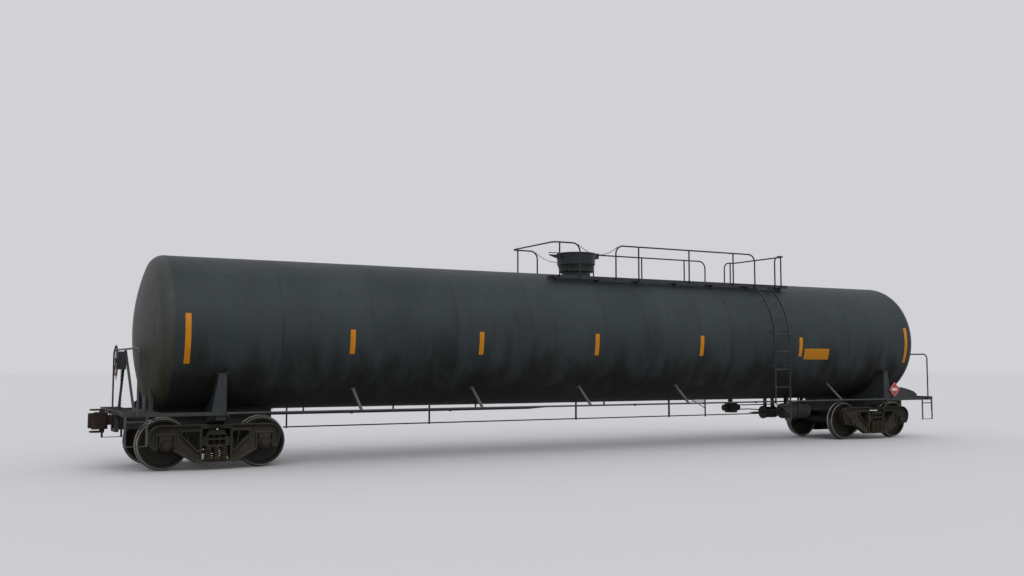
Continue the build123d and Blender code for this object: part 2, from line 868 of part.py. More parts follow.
def housing_cover():
    bottom = rail_z + housing_top_height + seat
    top = bottom + lid_thickness
    skirt_bottom = bottom - lid_skirt
    hinge_x = housing_x + hinge_offset
    hinge_z = rail_z + hinge_height
    lid = upright(housing_x, 0, lid_radius, skirt_bottom, top)
    lid -= upright(housing_x, 0, lid_radius - lid_skirt_wall, skirt_bottom - plate, bottom)
    # no skirt beside the hinge, so that the cover can swing up
    lid -= block(
        housing_x + 0.75 * housing_radius,
        hinge_x + housing_radius,
        -housing_radius,
        housing_radius,
        skirt_bottom - plate,
        bottom,
    )
    lid += block(
        housing_x + 0.7 * housing_radius,
        hinge_x,
        -hinge_half_width,
        hinge_half_width,
        bottom,
        hinge_z + hinge_knuckle_radius - seat,
    )
    hinge_ends = [(hinge_x, side * hinge_half_width, hinge_z) for side in (-1, 1)]
    lid += bar(hinge_ends[0], hinge_ends[1], hinge_knuckle_radius)
    lid -= bar(
        (hinge_x, -2 * hinge_half_width, hinge_z),
        (hinge_x, 2 * hinge_half_width, hinge_z),
        hinge_pin_radius + running_fit,
    )
    hasp_x = housing_x - housing_radius - hasp_reach
    lid += block(hasp_x, housing_x - 0.9 * housing_radius, -hasp_half_width, hasp_half_width, bottom, top)
    return lid


def relief_valve():
    base = rail_z + manway_cover[2]
    valve = Part()
    for radius, bottom, top in relief_valve_table:
        valve += upright(housing_x, 0, radius, base + bottom, base + top)
    return valve


def angle_valve(degrees):
    base = rail_z + manway_cover[2]
    radius, thickness = valve_flange
    valve = upright(valve_ring_radius, 0, radius, base, base + thickness)
    valve += upright(valve_ring_radius, 0, valve_body_radius, base, base + valve_height)
    wheel_radius, wheel_thickness = valve_wheel
    wheel_z = base + valve_height
    valve += upright(valve_ring_radius, 0, wheel_radius, wheel_z, wheel_z + wheel_thickness)
    outlet_radius, outlet_reach = valve_outlet
    outlet_z = base + valve_outlet_height
    valve += bar(
        (valve_ring_radius, 0, outlet_z),
        (valve_ring_radius + outlet_reach, 0, outlet_z),
        outlet_radius,
    )
    return Pos(housing_x, 0, 0) * Rot(0, 0, degrees + 45) * valve


def diamond(y, thickness, x, z):
    half = placard_side * math.sqrt(0.5)
    points = ((x - half, z), (x, z + half), (x + half, z), (x, z - half))
    return prism_across(points, y, thickness)


# A side board beside the bolster's post carries the placard holder.
def side_placard():
    top_edge = [(truck_x + x, rail_z + z) for x, z in board_outline]
    foot = rail_z + platform_beam_top
    outline = top_edge + [(top_edge[-1][0], foot), (top_edge[0][0], foot)]
    board_y = side_sill_y - board_thickness / 2
    board = prism_across(outline, board_y, board_thickness)
    x = truck_x + placard_from_truck
    z = rail_z + placard_height
    return board + diamond(side_sill_y + placard_thickness / 2, placard_thickness, x, z)


def end_placard():
    x = end_rail_x + pipe_radius + seat
    top = rail_z + end_rail_height + pipe_radius
    z = rail_z + end_placard_height
    half = placard_side * math.sqrt(0.5)
    width, thickness = end_placard_strap
    y = end_placard_y
    strap = block(x, x + thickness, y - width / 2, y + width / 2, z, top)
    points = ((y - half, z), (y, z + half), (y + half, z), (y, z - half))
    return strap + prism_along(points, x + thickness / 2, thickness)


# The hand brake's stand: two legs from the deck to the end railing, and the gear box.
def brake_stand():
    depth, width = stand_bar
    x = -(end_rail_x + pipe_radius + seat + depth / 2)
    foot = rail_z + platform_beam_top + deck_thickness
    apex_y, apex_height = stand_apex
    apex_z = rail_z + apex_height
    stand = Part()
    for foot_y in stand_feet_y:
        leg = (
            (foot_y - width / 2, foot),
            (foot_y + width / 2, foot),
            (apex_y + width / 2, apex_z),
            (apex_y - width / 2, apex_z),
        )
        stand += prism_along(leg, x, depth)
    box_depth, box_width, box_height = brake_box
    z = rail_z + brake_wheel_height
    face = x - depth / 2
    stand += block(
        face - box_depth,
        face + depth / 2,
        apex_y - box_width / 2,
        apex_y + box_width / 2,
        z - box_height / 2,
        z + box_height / 2,
    )
    return stand


def brake_wheel():
    wheel_hub_radius, hub_length = brake_wheel_hub
    depth = stand_bar[0]
    face = -(end_rail_x + pipe_radius + seat + depth + brake_box[0])
    z = rail_z + brake_wheel_height
    apex_y = stand_apex[0]
    wheel_x = face - hub_length + brake_wheel_rim
    wheel = bar((face, apex_y, z), (face - hub_length, apex_y, z), wheel_hub_radius)
    wheel += Pos(wheel_x, apex_y, z) * Rot(0, 90, 0) * Torus(brake_wheel_radius, brake_wheel_rim)
    for index in range(brake_wheel_spokes):
        angle = 2 * math.pi * index / brake_wheel_spokes
        rim = (
            wheel_x,
            apex_y + brake_wheel_radius * math.sin(angle),
            z + brake_wheel_radius * math.cos(angle),
        )
        wheel += bar((wheel_x, apex_y, z), rim, 0.7 * brake_wheel_rim)
    return wheel


# Flat hangers from a body below the tank up to the tank's underside.
def hangers(center, offsets, bottom_z):
    x, y, _ = center
    plates = Part()
    for offset in offsets:
        plates += block(
            x + offset - hanger_thickness / 2,
            x + offset + hanger_thickness / 2,
            y - hanger_width / 2,
            y + hanger_width / 2,
            bottom_z,
            tank_z - tank_radius / 2,
        )
    return plates - tank_clearance


def air_reservoir():
    radius, length = reservoir
    x, y, height = reservoir_center
    z = rail_z + height
    body = bar((x - length / 2, y, z), (x + length / 2, y, z), radius)
    body = fillet(body.edges(), radius / 3)
    flange_radius, flange_width = reservoir_flange
    body += bar((x - flange_width / 2, y, z), (x + flange_width / 2, y, z), flange_radius)
    return body + hangers((x, y, z), (-hanger_share * length, hanger_share * length), z)


def brake_cylinder():
    radius, length = cylinder_body
    x, y, height = cylinder_center
    z = rail_z + height
    body = bar((x - length / 2, y, z), (x + length / 2, y, z), radius)
    body += bar((x - length / 2, y, z), (x - length / 2 + 2 * plate, y, z), radius + 2 * plate)
    push_end = cylinder_lever_x + lever_bar[0] / 2
    body += bar((x - length / 2, y, z), (push_end + seat, y, z), rod_radius * 1.5)
    return body + hangers((x, y, z), (-hanger_share * length, hanger_share * length), z)


def control_valve():
    width, depth, height = valve_block
    x, y, center_height = valve_block_center
    z = rail_z + center_height
    body = block(x - width / 2, x + width / 2, y - depth / 2, y + depth / 2, z - height / 2, z + height / 2)
    radius, reach = valve_portion
    for side in (-1, 1):
        body += bar((x, y, z), (x + side * (width / 2 + reach), y, z), radius)
    return body + hangers((x, y, z), (0,), z)


# Brake pipe from one end's angle cock to the other's, clipped below the tank.
def brake_pipe():
    z = rail_z + brake_pipe_height
    x_end = brake_pipe_end_x
    cross = brake_pipe_cross_x
    path = [
        (-x_end, -brake_pipe_y, z),
        (cross[0], -brake_pipe_y, z),
        (cross[1], brake_pipe_y, z),
        (x_end, brake_pipe_y, z),
    ]
    line = pipe(path, pipe_radius, 0.25 * (cross[1] - cross[0]))
    for x in brake_pipe_clips_x:
        y = -brake_pipe_y if x < cross[0] else brake_pipe_y
        clip = block(x - plate, x + plate, y - pipe_radius, y + pipe_radius, z, tank_z - tank_radius / 2)
        line += clip - tank_clearance
    for side in (-1, 1):
        cock_x = side * x_end
        y = side * brake_pipe_y
        line += upright(cock_x, y, cock_radius, z - 1.4 * cock_radius, z + cock_radius)
        line += bar((cock_x, y, z), (cock_x + side * cock_reach, y, z), 0.8 * cock_radius)
        bore_radius, bore_length = cock_bore
        mouth_x = cock_x + side * cock_reach
        line -= bar((mouth_x - side * bore_length, y, z), (mouth_x + side * plate, y, z), bore_radius)
        line += block(
            cock_x - side * 2 * cock_radius,
            cock_x - side * 2.6 * cock_radius,
            y,
            side * striker_half_width * 0.72,
            z - pipe_radius / 2,
            z + pipe_radius / 2,
        )
    return line


# Cylinder lever, lying flat, and the rods that run to the trucks.
def brake_rods():
    width, thickness = lever_bar
    x = cylinder_lever_x
    z = rail_z + cylinder_center[2]
    lever_ends = (-rod_y - width / 2, cylinder_center[1] + width / 2)
    rods = block(
        x - width / 2, x + width / 2, lever_ends[0], lever_ends[1], z - thickness / 2, z + thickness / 2
    )
    rods += bar((x, rod_y, z), (rod_end_x, rod_y, z), rod_radius)
    rods += bar((x, -rod_y, z), (-rod_end_x, -rod_y, z), rod_radius)
    for guide_x, y in (
        (rod_end_x - width, rod_y),
        (-rod_end_x + width, -rod_y),
        (-2 * width, -rod_y),
        (rod_guides_x[0], -rod_y),
        (rod_guides_x[1], -rod_y),
    ):
        strap = block(
            guide_x - thickness / 2,
            guide_x + thickness / 2,
            y - rod_radius - plate,
            y + rod_radius + plate,
            z - rod_radius - plate,
            tank_z - tank_radius / 2,
        )
        rods += strap - tank_clearance
    return rods


# Cut lever from the car's corner to the coupler, with its brackets on the end sill.
def uncoupling_lever():
    z = rail_z + lever_height
    path = [
        (lever_x, -lever_handle_y, rail_z + lever_handle_height),
        (lever_x, -lever_handle_y, z),
        (lever_x, -lever_inner_y, z),
        (lever_x, lever_inner_y, z - 1.5 * lever_inner_y),
    ]
    lever = pipe(path, lever_radius, (2 * lever_radius + plate, lever_radius + plate / 4))
    for y in lever_brackets_y:
        lever += block(striker_x, lever_x, -y - plate / 2, -y + plate / 2, z - 2 * plate, z + 2 * plate)
    return lever


def coupler():
    z = rail_z + coupler_height
    head = prism_up(
        [(head_back_x + x, y) for x, y in head_outline], z - head_half_height, z + head_half_height
    )
    for sign in (-1, 1):
        level = sorted((z + sign * (head_half_height - plate), z + sign * shelf[1]))
        head += prism_up([(head_back_x + x, y) for x, y in shelf_outline[:1] + shelf_outline[-1:] + (
            (shelf_outline[-1][0] + shelf_rib, shelf_outline[-1][1]),
            (shelf_outline[0][0] + shelf_rib, shelf_outline[0][1]),
        )], level[0], level[1])
        level = sorted((z + sign * shelf[0], z + sign * shelf[1]))
        head += prism_up([(head_back_x + x, y) for x, y in shelf_outline], level[0], level[1])
    pivot = (head_back_x + knuckle_pivot[0], knuckle_pivot[1])
    slot_z = (z - knuckle_slot_half_height, z + knuckle_slot_half_height)
    head -= upright(pivot[0], pivot[1], knuckle_hub_radius + moving_gap, slot_z[0], slot_z[1])
    head -= block(pivot[0], pivot[0] + 4 * knuckle_hub_radius, -coupler_width, 0, slot_z[0], slot_z[1])
    # the knuckle's back turns through this corner as it opens
    head -= block(
        pivot[0] - knuckle_hub_radius - moving_gap,
        pivot[0],
        -coupler_width,
        pivot[1] - knuckle_hub_radius / 2,
        slot_z[0],
        slot_z[1],
    )
    head += upright(pivot[0], pivot[1], knuckle_pin_radius, slot_z[0] - plate, slot_z[1] + plate)
    shank = block(
        coupler_pin_x,
        head_back_x + plate,
        -shank_half_width,
        shank_half_width,
        z - shank_half_height,
        z + shank_half_height,
    )
    shank += upright(coupler_pin_x, 0, 1.4 * shank_half_width, z - shank_half_height, z + shank_half_height)
    shank -= upright(
        coupler_pin_x,
        0,
        coupler_pin_radius + running_fit,
        z - 2 * shank_half_height,
        z + 2 * shank_half_height,
    )
    return shank + head


def knuckle():
    z = rail_z + coupler_height
    pivot = (head_back_x + knuckle_pivot[0], knuckle_pivot[1])
    slot_half = knuckle_slot_half_height - moving_gap
    jaw = prism_up(
        [(head_back_x + x, y) for x, y in knuckle_outline], z - knuckle_half_height, z + knuckle_half_height
    )
    # the jaw is lower where it passes between the head's pivot lugs
    lug_x = pivot[0] + math.dist(lug_corner, knuckle_pivot) + moving_gap
    for sign in (-1, 1):
        level = sorted((z + sign * slot_half, z + sign * 2 * knuckle_half_height))
        jaw -= block(head_back_x, lug_x, -coupler_width, coupler_width, level[0], level[1])
    jaw += upright(pivot[0], pivot[1], knuckle_hub_radius, z - slot_half, z + slot_half)
    jaw -= upright(
        pivot[0], pivot[1], knuckle_pin_radius + running_fit, z - head_half_height, z + head_half_height
    )
    return jaw


def side_frame():
    top = rail_z + frame_top_height
    bottom = rail_z + frame_bottom_height
    roof = rail_z + pedestal_roof_height
    axle_x = wheelbase / 2
    jaw_inner = axle_x - pedestal_half_width
    jaw_outer = axle_x + pedestal_half_width
    half = [
        (lower_chord_end, bottom),
        (jaw_inner - 40, rail_z + inner_jaw_height - 20),
        (jaw_inner, rail_z + inner_jaw_height),
        (jaw_inner, roof),
        (jaw_outer, roof),
        (jaw_outer, rail_z + outer_jaw_height),
        (outer_jaw_end - 60, rail_z + outer_jaw_height),
        (outer_jaw_end, rail_z + outer_jaw_height + 90),
        (frame_end, roof - 60),
        (frame_end, top),
    ]
    outline = half + [(-x, z) for x, z in reversed(half)]
    face = make_face(Polyline(*outline, close=True))
    corners = [v for v in face.vertices() if abs(v.X) > frame_end - 1 and v.Y > top - 1]
    face = fillet(corners, frame_end_bend)
    windows = [
        make_face(Polyline(*[(side * x, rail_z + z) for x, z in side_window], close=True))
        for side in (-1, 1)
    ]
    opening = Pos(0, rail_z + (spring_seat_height + window_top_height) / 2) * Rectangle(
        2 * window_half_width, window_top_height - spring_seat_height
    )
    for hole in windows + [opening]:
        face -= hole
    frame = extrude(Plane.XZ * face, frame_thickness / 2, both=True)
    # the cast section is hollowed from its outer side, leaving flanges along its edges
    core = offset(face, -frame_flange, kind=Kind.INTERSECTION)
    recess = extrude(Plane.XZ * core, frame_thickness)
    recess = Pos(0, -frame_thickness / 2 + frame_pocket, 0) * recess
    frame -= recess & block(-2 * frame_end, 2 * frame_end, -2 * frame_thickness, 0, 0, 3 * top)
    seat_plate = block(
        -window_half_width,
        window_half_width,
        -frame_thickness / 2,
        spring_rows_y[1] - spring_rows_y[0] + frame_thickness / 2,
        bottom,
        rail_z + spring_seat_height,
    )
    return Pos(0, -journal_spread, 0) * (frame + seat_plate)


def truck_bolster():
    bottom, top = (rail_z + h for h in bolster_height)
    beam = block(
        -bolster_half_width, bolster_half_width, -bolster_half_length, bolster_half_length, bottom, top
    )
    beam += block(
        -bolster_half_width,
        bolster_half_width,
        -bolster_middle_y,
        bolster_middle_y,
        rail_z + bolster_middle_bottom,
        bottom + plate,
    )
    floor = rail_z + center_plate_height
    beam += upright(0, 0, bowl_radius[1], top - plate, rail_z + bowl_rim_height)
    beam -= upright(0, 0, bowl_radius[0], floor, rail_z + bowl_rim_height + plate)
    wedge_depth, wedge_height = wedge
    half_depth = wedge_depth / 2 - 2 * plate
    for side in (-1, 1):
        y = side * journal_spread
        beam += block(
            -window_half_width,
            window_half_width,
            y - half_depth,
            y + half_depth,
            bottom + plate,
            bottom + plate + wedge_height,
        )
        y = side * bearing_plate_y
        length, width = side_bearing
        beam += block(
            -width / 2, width / 2, y - length / 2, y + length / 2, top, rail_z + side_bearing_height
        )
    return beam


def spring_group():
    bottom = rail_z + spring_seat_height
    top = rail_z + bolster_height[0]
    return [
        upright(column * spring_pitch, side * y, spring_radius, bottom, top)
        for side in (-1, 1)
        for y in spring_rows_y
        for column in (-1, 0, 1)
    ]


def bearing(x, side):
    y0, y1 = sorted(side * y for y in cup_y)
    cup = bar((x, y0, axle_z), (x, y1, axle_z), cup_radius)
    cup += block(
        x - adapter_half_width,
        x + adapter_half_width,
        y0,
        y1,
        axle_z + cup_radius / 2,
        rail_z + pedestal_roof_height,
    )
    return cup - bar((x, 2 * y0 - y1, axle_z), (x, 2 * y1 - y0, axle_z), journal_radius + seat)


# A brake beam with its two shoes and the lever at its middle; side is the end of the truck.
def brake_beam():
    x0, x1 = beam_x
    z0, z1 = (rail_z + h for h in beam_height)
    end_y = journal_spread - frame_thickness / 2 - seat
    beam = block(x0, x1, -end_y, end_y, z0, z1)
    axle_x = wheelbase / 2
    for side in (-1, 1):
        beam += block(
            x1 - plate,
            shoe_reach,
            side * shoe_y[0],
            side * shoe_y[1],
            rail_z + shoe_height[0],
            rail_z + shoe_height[1],
        )
    beam -= bar((axle_x, -2 * end_y, axle_z), (axle_x, 2 * end_y, axle_z), tread_radius + shoe_gap)
    half_thick, width, low, high = truck_lever
    beam += block(x0, x0 + width, -half_thick / 2, half_thick / 2, rail_z + low, rail_z + high)
    return beam


def wheelset(x):
    half = list(wheelset_profile)
    outline = [(-y, r) for y, r in reversed(half)] + half[1:]
    # the outline lies along X, is turned about X and then laid along Y
    solid = revolve(make_face(Polyline(*outline, close=True)), Axis.X)
    return Pos(x, 0, axle_z) * Rot(0, 0, 90) * solid


def truck_parts(side):
    center = Pos(side * truck_x, 0, 0)
    name = "right" if side > 0 else "left"
    frame = side_frame()
    beam = brake_beam()
    axle_x = wheelbase / 2
    bearings = [bearing(end * axle_x, across) for end in (-1, 1) for across in (-1, 1)]
    return {
        f"truck_{name}_side_frame_near": [center * frame],
        f"truck_{name}_side_frame_far": [center * turned(frame)],
        f"truck_{name}_bolster": [center * truck_bolster()],
        f"truck_{name}_springs": [center * spring for spring in spring_group()],
        f"truck_{name}_bearings": [center * box for box in bearings],
        f"truck_{name}_brake_beams": [center * beam, center * turned(beam)],
        f"wheelset_{name}_outer": [center * wheelset(side * axle_x)],
        f"wheelset_{name}_inner": [center * wheelset(-side * axle_x)],
    }


def end_parts(side):
    name = "right" if side > 0 else "left"

    def place(shape):
        return shape if side > 0 else turned(shape)

    return {
        f"saddle_{name}": [place(saddle())],
        f"stub_sill_{name}": [place(stub_sill())],
        f"end_frame_{name}": [place(end_frame())],
        f"end_platform_{name}": [place(platform_deck())],
        f"end_railing_{name}": [place(end_railing())],
        f"coupler_{name}": [place(coupler())],
        f"knuckle_{name}": [place(knuckle())],
    }


def car_parts():
    steps = [corner_step(), mirror_y(corner_step())]
    rails = side_handrail()
    lever = uncoupling_lever()
    placard = mirror_y(side_placard())
    end_holder = end_placard()
    return {
        "tank_shell": [tank(0.0)],
        "corner_steps": steps + [turned(step) for step in steps],
        "side_handrail_far": rails,
        "side_handrail_near": [mirror_y(rail) for rail in rails],
        "ladder_far": [ladder()],
        "ladder_near": [mirror_y(ladder())],
        "top_platform": [top_platform(), mirror_y(top_platform())],
        "railing_left": [railing_loop(*left_loop_x)],
        "railing_right": [railing_loop(*right_loop_x)],
        "side_rails": [side_rail(-1), side_rail(1)],
        "safety_chains": [safety_chain(-1), safety_chain(1)],
        "manway_neck": [manway_neck()],
        "manway_cover": [manway_cover_plate()],
        "protective_housing": [protective_housing()],
        "housing_cover": [housing_cover()],
        "relief_valve": [relief_valve()],
        "angle_valves": [angle_valve(degrees) for degrees in valve_angles],
        "placard_holders": [placard, turned(placard), end_holder, mirror(end_holder, about=Plane.YZ)],
        "hand_brake_stand": [brake_stand()],
        "hand_brake_wheel": [brake_wheel()],
        "air_reservoir": [air_reservoir()],
        "brake_cylinder": [brake_cylinder()],
        "control_valve": [control_valve()],
        "brake_pipe": [brake_pipe()],
        "brake_rods": [brake_rods()],
        "uncoupling_levers": [lever, turned(lever)],
    }


nodes = car_parts()
for side in (-1, 1):
    nodes.update(end_parts(side))
    nodes.update(truck_parts(side))

os.makedirs("parts", exist_ok=True)
for name, shapes in nodes.items():
    solids = [solid for shape in shapes for solid in shape.solids()]
    export_step(Compound(children=solids) if len(solids) > 1 else solids[0], f"parts/{name}.step")
    print(name, len(solids))
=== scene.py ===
# Looks of the railway tank car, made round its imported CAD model: metres, +X along the car, Z up.
import math
from itertools import product
import bpy
import bmesh
import numpy as np
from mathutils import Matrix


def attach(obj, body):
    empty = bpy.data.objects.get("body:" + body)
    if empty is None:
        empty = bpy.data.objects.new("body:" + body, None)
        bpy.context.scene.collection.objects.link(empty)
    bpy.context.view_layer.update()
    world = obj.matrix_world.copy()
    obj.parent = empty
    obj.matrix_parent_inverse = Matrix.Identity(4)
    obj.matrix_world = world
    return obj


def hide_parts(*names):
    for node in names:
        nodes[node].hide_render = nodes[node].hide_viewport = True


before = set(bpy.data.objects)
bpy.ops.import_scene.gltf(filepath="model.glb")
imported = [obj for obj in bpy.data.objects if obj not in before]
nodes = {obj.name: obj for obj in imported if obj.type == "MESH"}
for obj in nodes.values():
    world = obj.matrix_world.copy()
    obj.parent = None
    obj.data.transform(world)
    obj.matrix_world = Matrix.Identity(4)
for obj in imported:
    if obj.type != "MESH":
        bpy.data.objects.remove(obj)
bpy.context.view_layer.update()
print("stage: frame loaded,", len(nodes), "CAD nodes")

# sizes that several pieces share
car = {
    "tankRadius": 1.462,
    "tankZ": 2.5134,
    "seamX": 9.290,
    "truckX": 8.458,
    "axleX": 0.889,
    "axleZ": 0.4826,
}
ends = (("left", -1.0), ("right", 1.0))


def axles(side, y):
    # each axle's name within the truck at that end, and its point at the distance y from the car's middle
    return [(place, np.array([side * car["truckX"] + hand * car["axleX"], y, car["axleZ"]]))
            for place, hand in (("outer", side), ("inner", -side))]


# a patch is its points, its quads and the number of the closed shell that each point belongs to
def gridPatch(points, closeRows=False, closeColumns=False):
    # neighbours on a rows x columns grid make quads; a closed direction joins its last to its first
    rows, columns = points.shape[:2]
    index = np.arange(rows * columns).reshape(rows, columns)
    if closeRows:
        index = np.vstack([index, index[:1]])
    if closeColumns:
        index = np.hstack([index, index[:, :1]])
    quads = np.stack([index[:-1, :-1], index[1:, :-1], index[1:, 1:], index[:-1, 1:]], -1)
    return points.reshape(-1, 3), quads.reshape(-1, 4), np.zeros(rows * columns, int)


def joined(patches):
    # one patch of several: each one's quads and shells are counted on from those before it
    starts = np.cumsum([0] + [len(points) for points, quads, shells in patches])
    firsts = np.cumsum([0] + [shells.max() + 1 for points, quads, shells in patches])
    return (np.concatenate([patch[0] for patch in patches]),
            np.concatenate([patch[1] + start for patch, start in zip(patches, starts)]),
            np.concatenate([patch[2] + first for patch, first in zip(patches, firsts)]))


def copied(patch, places):
    # the same patch moved to each place
    points, quads, shells = patch
    places = np.asarray(places, float).reshape(-1, 3)
    count = np.arange(len(places))
    return ((points + places[:, None]).reshape(-1, 3),
            (quads + count[:, None, None] * len(points)).reshape(-1, 4),
            (shells + count[:, None] * (shells.max() + 1)).reshape(-1))


def times(patch, factors):
    # the patch with each coordinate multiplied
    return patch[0] * np.asarray(factors, float), patch[1], patch[2]


def bothEnds(patch):
    # the patch and itself turned half round about Z
    return joined([patch, times(patch, (-1, -1, 1))])


def bothSides(patch):
    # the patch and its mirror image across the car's middle
    return joined([patch, times(patch, (1, -1, 1))])


def boxPatch(low, high):
    # one box between each pair of opposite corners
    low, high = (np.asarray(v, float).reshape(-1, 3) for v in (low, high))
    corner = np.array([[i, j, k] for i in (0, 1) for j in (0, 1) for k in (0, 1)], float)
    face = np.array([[0, 1, 3, 2], [4, 6, 7, 5], [0, 4, 5, 1], [2, 3, 7, 6], [0, 2, 6, 4], [1, 5, 7, 3]])
    count = np.arange(len(low))
    points = low[:, None] + corner * (high - low)[:, None]
    quads = face + len(corner) * count[:, None, None]
    return points.reshape(-1, 3), quads.reshape(-1, 4), np.repeat(count, len(corner))


def tubePatch(path, radius, sides=10, closed=False, reference=(0, 0, 1)):
    # a circle carried along the path, square to it; the reference fixes which way its first point looks
    path = np.asarray(path, float)
    tangent = np.roll(path, -1, 0) - np.roll(path, 1, 0) if closed else np.gradient(path, axis=0)
    tangent /= np.linalg.norm(tangent, axis=1, keepdims=True)
    across = np.cross(tangent, np.asarray(reference, float))
    across /= np.linalg.norm(across, axis=1, keepdims=True)
    up = np.cross(across, tangent)
    angle = np.linspace(0, 2 * np.pi, sides, endpoint=False)[None, :, None]
    ring = path[:, None] + radius * (np.cos(angle) * across[:, None] + np.sin(angle) * up[:, None])
    if not closed:
        first, last = (np.repeat(path[i][None, None], sides, 1) for i in (0, -1))
        ring = np.concatenate([first, ring, last])
    return gridPatch(ring, closed, True)


def bentPath(corners, bend, steps=6):
    # straight runs whose corners are replaced by curves that start and end one bend away from them
    corners = np.asarray(corners, float)
    share = np.linspace(0, 1, steps)[:, None]
    most = 0.49  # of a run, so that the curves at its two ends stay apart
    path = [corners[:1]]
    for before, corner, after in zip(corners[:-2], corners[1:-1], corners[2:]):
        start, end = (corner + (other - corner) * min(bend / np.linalg.norm(other - corner), most)
                      for other in (before, after))
        path.append((1 - share) ** 2 * start + 2 * share * (1 - share) * corner + share ** 2 * end)
    return np.concatenate(path + [corners[-1:]])


def turnedPatch(profile, centre, axis, sides=32):
    # a profile of (distance along the axis, radius) turned about the axis through the centre
    profile, axis = np.asarray(profile, float), np.asarray(axis, float)
    first = np.cross(axis, (0, 0, 1) if abs(axis[2]) < 0.9 else (1, 0, 0))
    first /= np.linalg.norm(first)
    angle = np.linspace(0, 2 * np.pi, sides, endpoint=False)[None, :, None]
    turn = np.cos(angle) * first + np.sin(angle) * np.cross(axis, first)
    points = np.asarray(centre, float) + profile[:, :1, None] * axis + profile[:, 1:, None] * turn
    return gridPatch(points, False, True)


def plateProfile(low, high, radius, hole=0.0, edge=0.002):
    # the profile of a round plate, or of a ring round a hole, with broken edges
    outer = [(low, radius - edge), (low + edge, radius), (high - edge, radius), (high, radius - edge)]
    if hole == 0.0:
        return [(low, 0)] + outer + [(high, 0)]
    return [(low, hole)] + outer + [(high, hole), (low, hole)]


def boltPatch(places, axis, radius, height):
    # a hexagon head with a broken top edge on a round washer, its foot at each place
    broken, wide, thick, sunk = 0.8, 1.35 * radius, 0.2 * height, 0.001
    head = [(0, 0), (0, radius), (broken * height, radius), (height, broken * radius), (height, 0)]
    washer = [(-sunk, 0), (-sunk, wide), (thick, wide), (thick, 0)]
    both = joined([turnedPatch(head, (0, 0, 0), axis, 6), turnedPatch(washer, (0, 0, 0), axis, 12)])
    return copied(both, places)


def slabPatch(outer, inner):
    # a sheet between two grids of points, its four edges closed
    rims = [np.concatenate([g[0], g[1:, -1], g[-1, -2::-1], g[-2:0:-1, 0]]) for g in (outer, inner)]
    edges = gridPatch(np.stack(rims), False, True)
    points, quads, shells = joined([gridPatch(outer), gridPatch(inner), edges])
    return points, quads, 0 * shells


def chainPatch(path, wire, length, width):
    # oval links at even steps along the path, each turned a quarter from the one before and hooked into it
    anyWay = (0.31, 0.9, 0.17)  # a direction that no chain hangs in
    path = np.asarray(path, float)
    run = np.concatenate([[0], np.cumsum(np.linalg.norm(np.diff(path, axis=0), axis=1))])
    pitch = length - 4 * wire  # a link's length inside, as wire is the radius of its bar
    count = max(1, round(run[-1] / pitch))
    stops = (np.arange(count) + 0.5) * run[-1] / count
    middle = np.stack([np.interp(stops, run, path[:, k]) for k in range(3)], -1)
    tangent = np.stack([np.interp(stops, run, np.gradient(path[:, k], run)) for k in range(3)], -1)
    tangent /= np.linalg.norm(tangent, axis=1, keepdims=True)
    side = np.cross(tangent, anyWay)
    side /= np.linalg.norm(side, axis=1, keepdims=True)
    side = np.where(np.arange(count)[:, None] % 2 == 0, side, np.cross(tangent, side))
    turn = np.linspace(0, 2 * np.pi, 12, endpoint=False) + 0.01  # past the quarters, where the sign is 0
    half = width / 2 - wire
    bow = np.sign(np.cos(turn)) * (length / 2 - wire - half)
    ring = np.stack([bow + half * np.cos(turn), half * np.sin(turn)], -1)
    step = np.roll(ring, -1, 0) - np.roll(ring, 1, 0)
    out = np.stack([step[:, 1], -step[:, 0]], -1) / np.linalg.norm(step, axis=1, keepdims=True)
    axes = np.stack([tangent, side], 1)
    loop = middle[:, None] + np.einsum("pk,nkd->npd", ring, axes)
    out = np.einsum("pk,nkd->npd", out, axes)[:, :, None]
    around = np.linspace(0, 2 * np.pi, 6, endpoint=False)[None, None, :, None]
    flat = np.cross(tangent, side)[:, None, None]
    tube = loop[:, :, None] + wire * (np.cos(around) * out + np.sin(around) * flat)
    return joined([gridPatch(link, True, True) for link in tube])


def shade(piece, sharpAngle):
    # smooth faces, sharp where they meet at more than the angle
    piece.data.shade_smooth()
    piece.data.set_sharp_from_angle(angle=math.radians(sharpAngle))


def placed(piece, finish, body, replaces):
    # the piece gets its finish and the body it moves with, and the CAD nodes that it replaces are hidden
    piece.data.materials.clear()
    piece.data.materials.append(finishes[finish])
    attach(piece, body)
    if replaces:
        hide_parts(*replaces)
    return piece


sharpEdge = 40  # degrees at which a bevelled piece's edges are broken


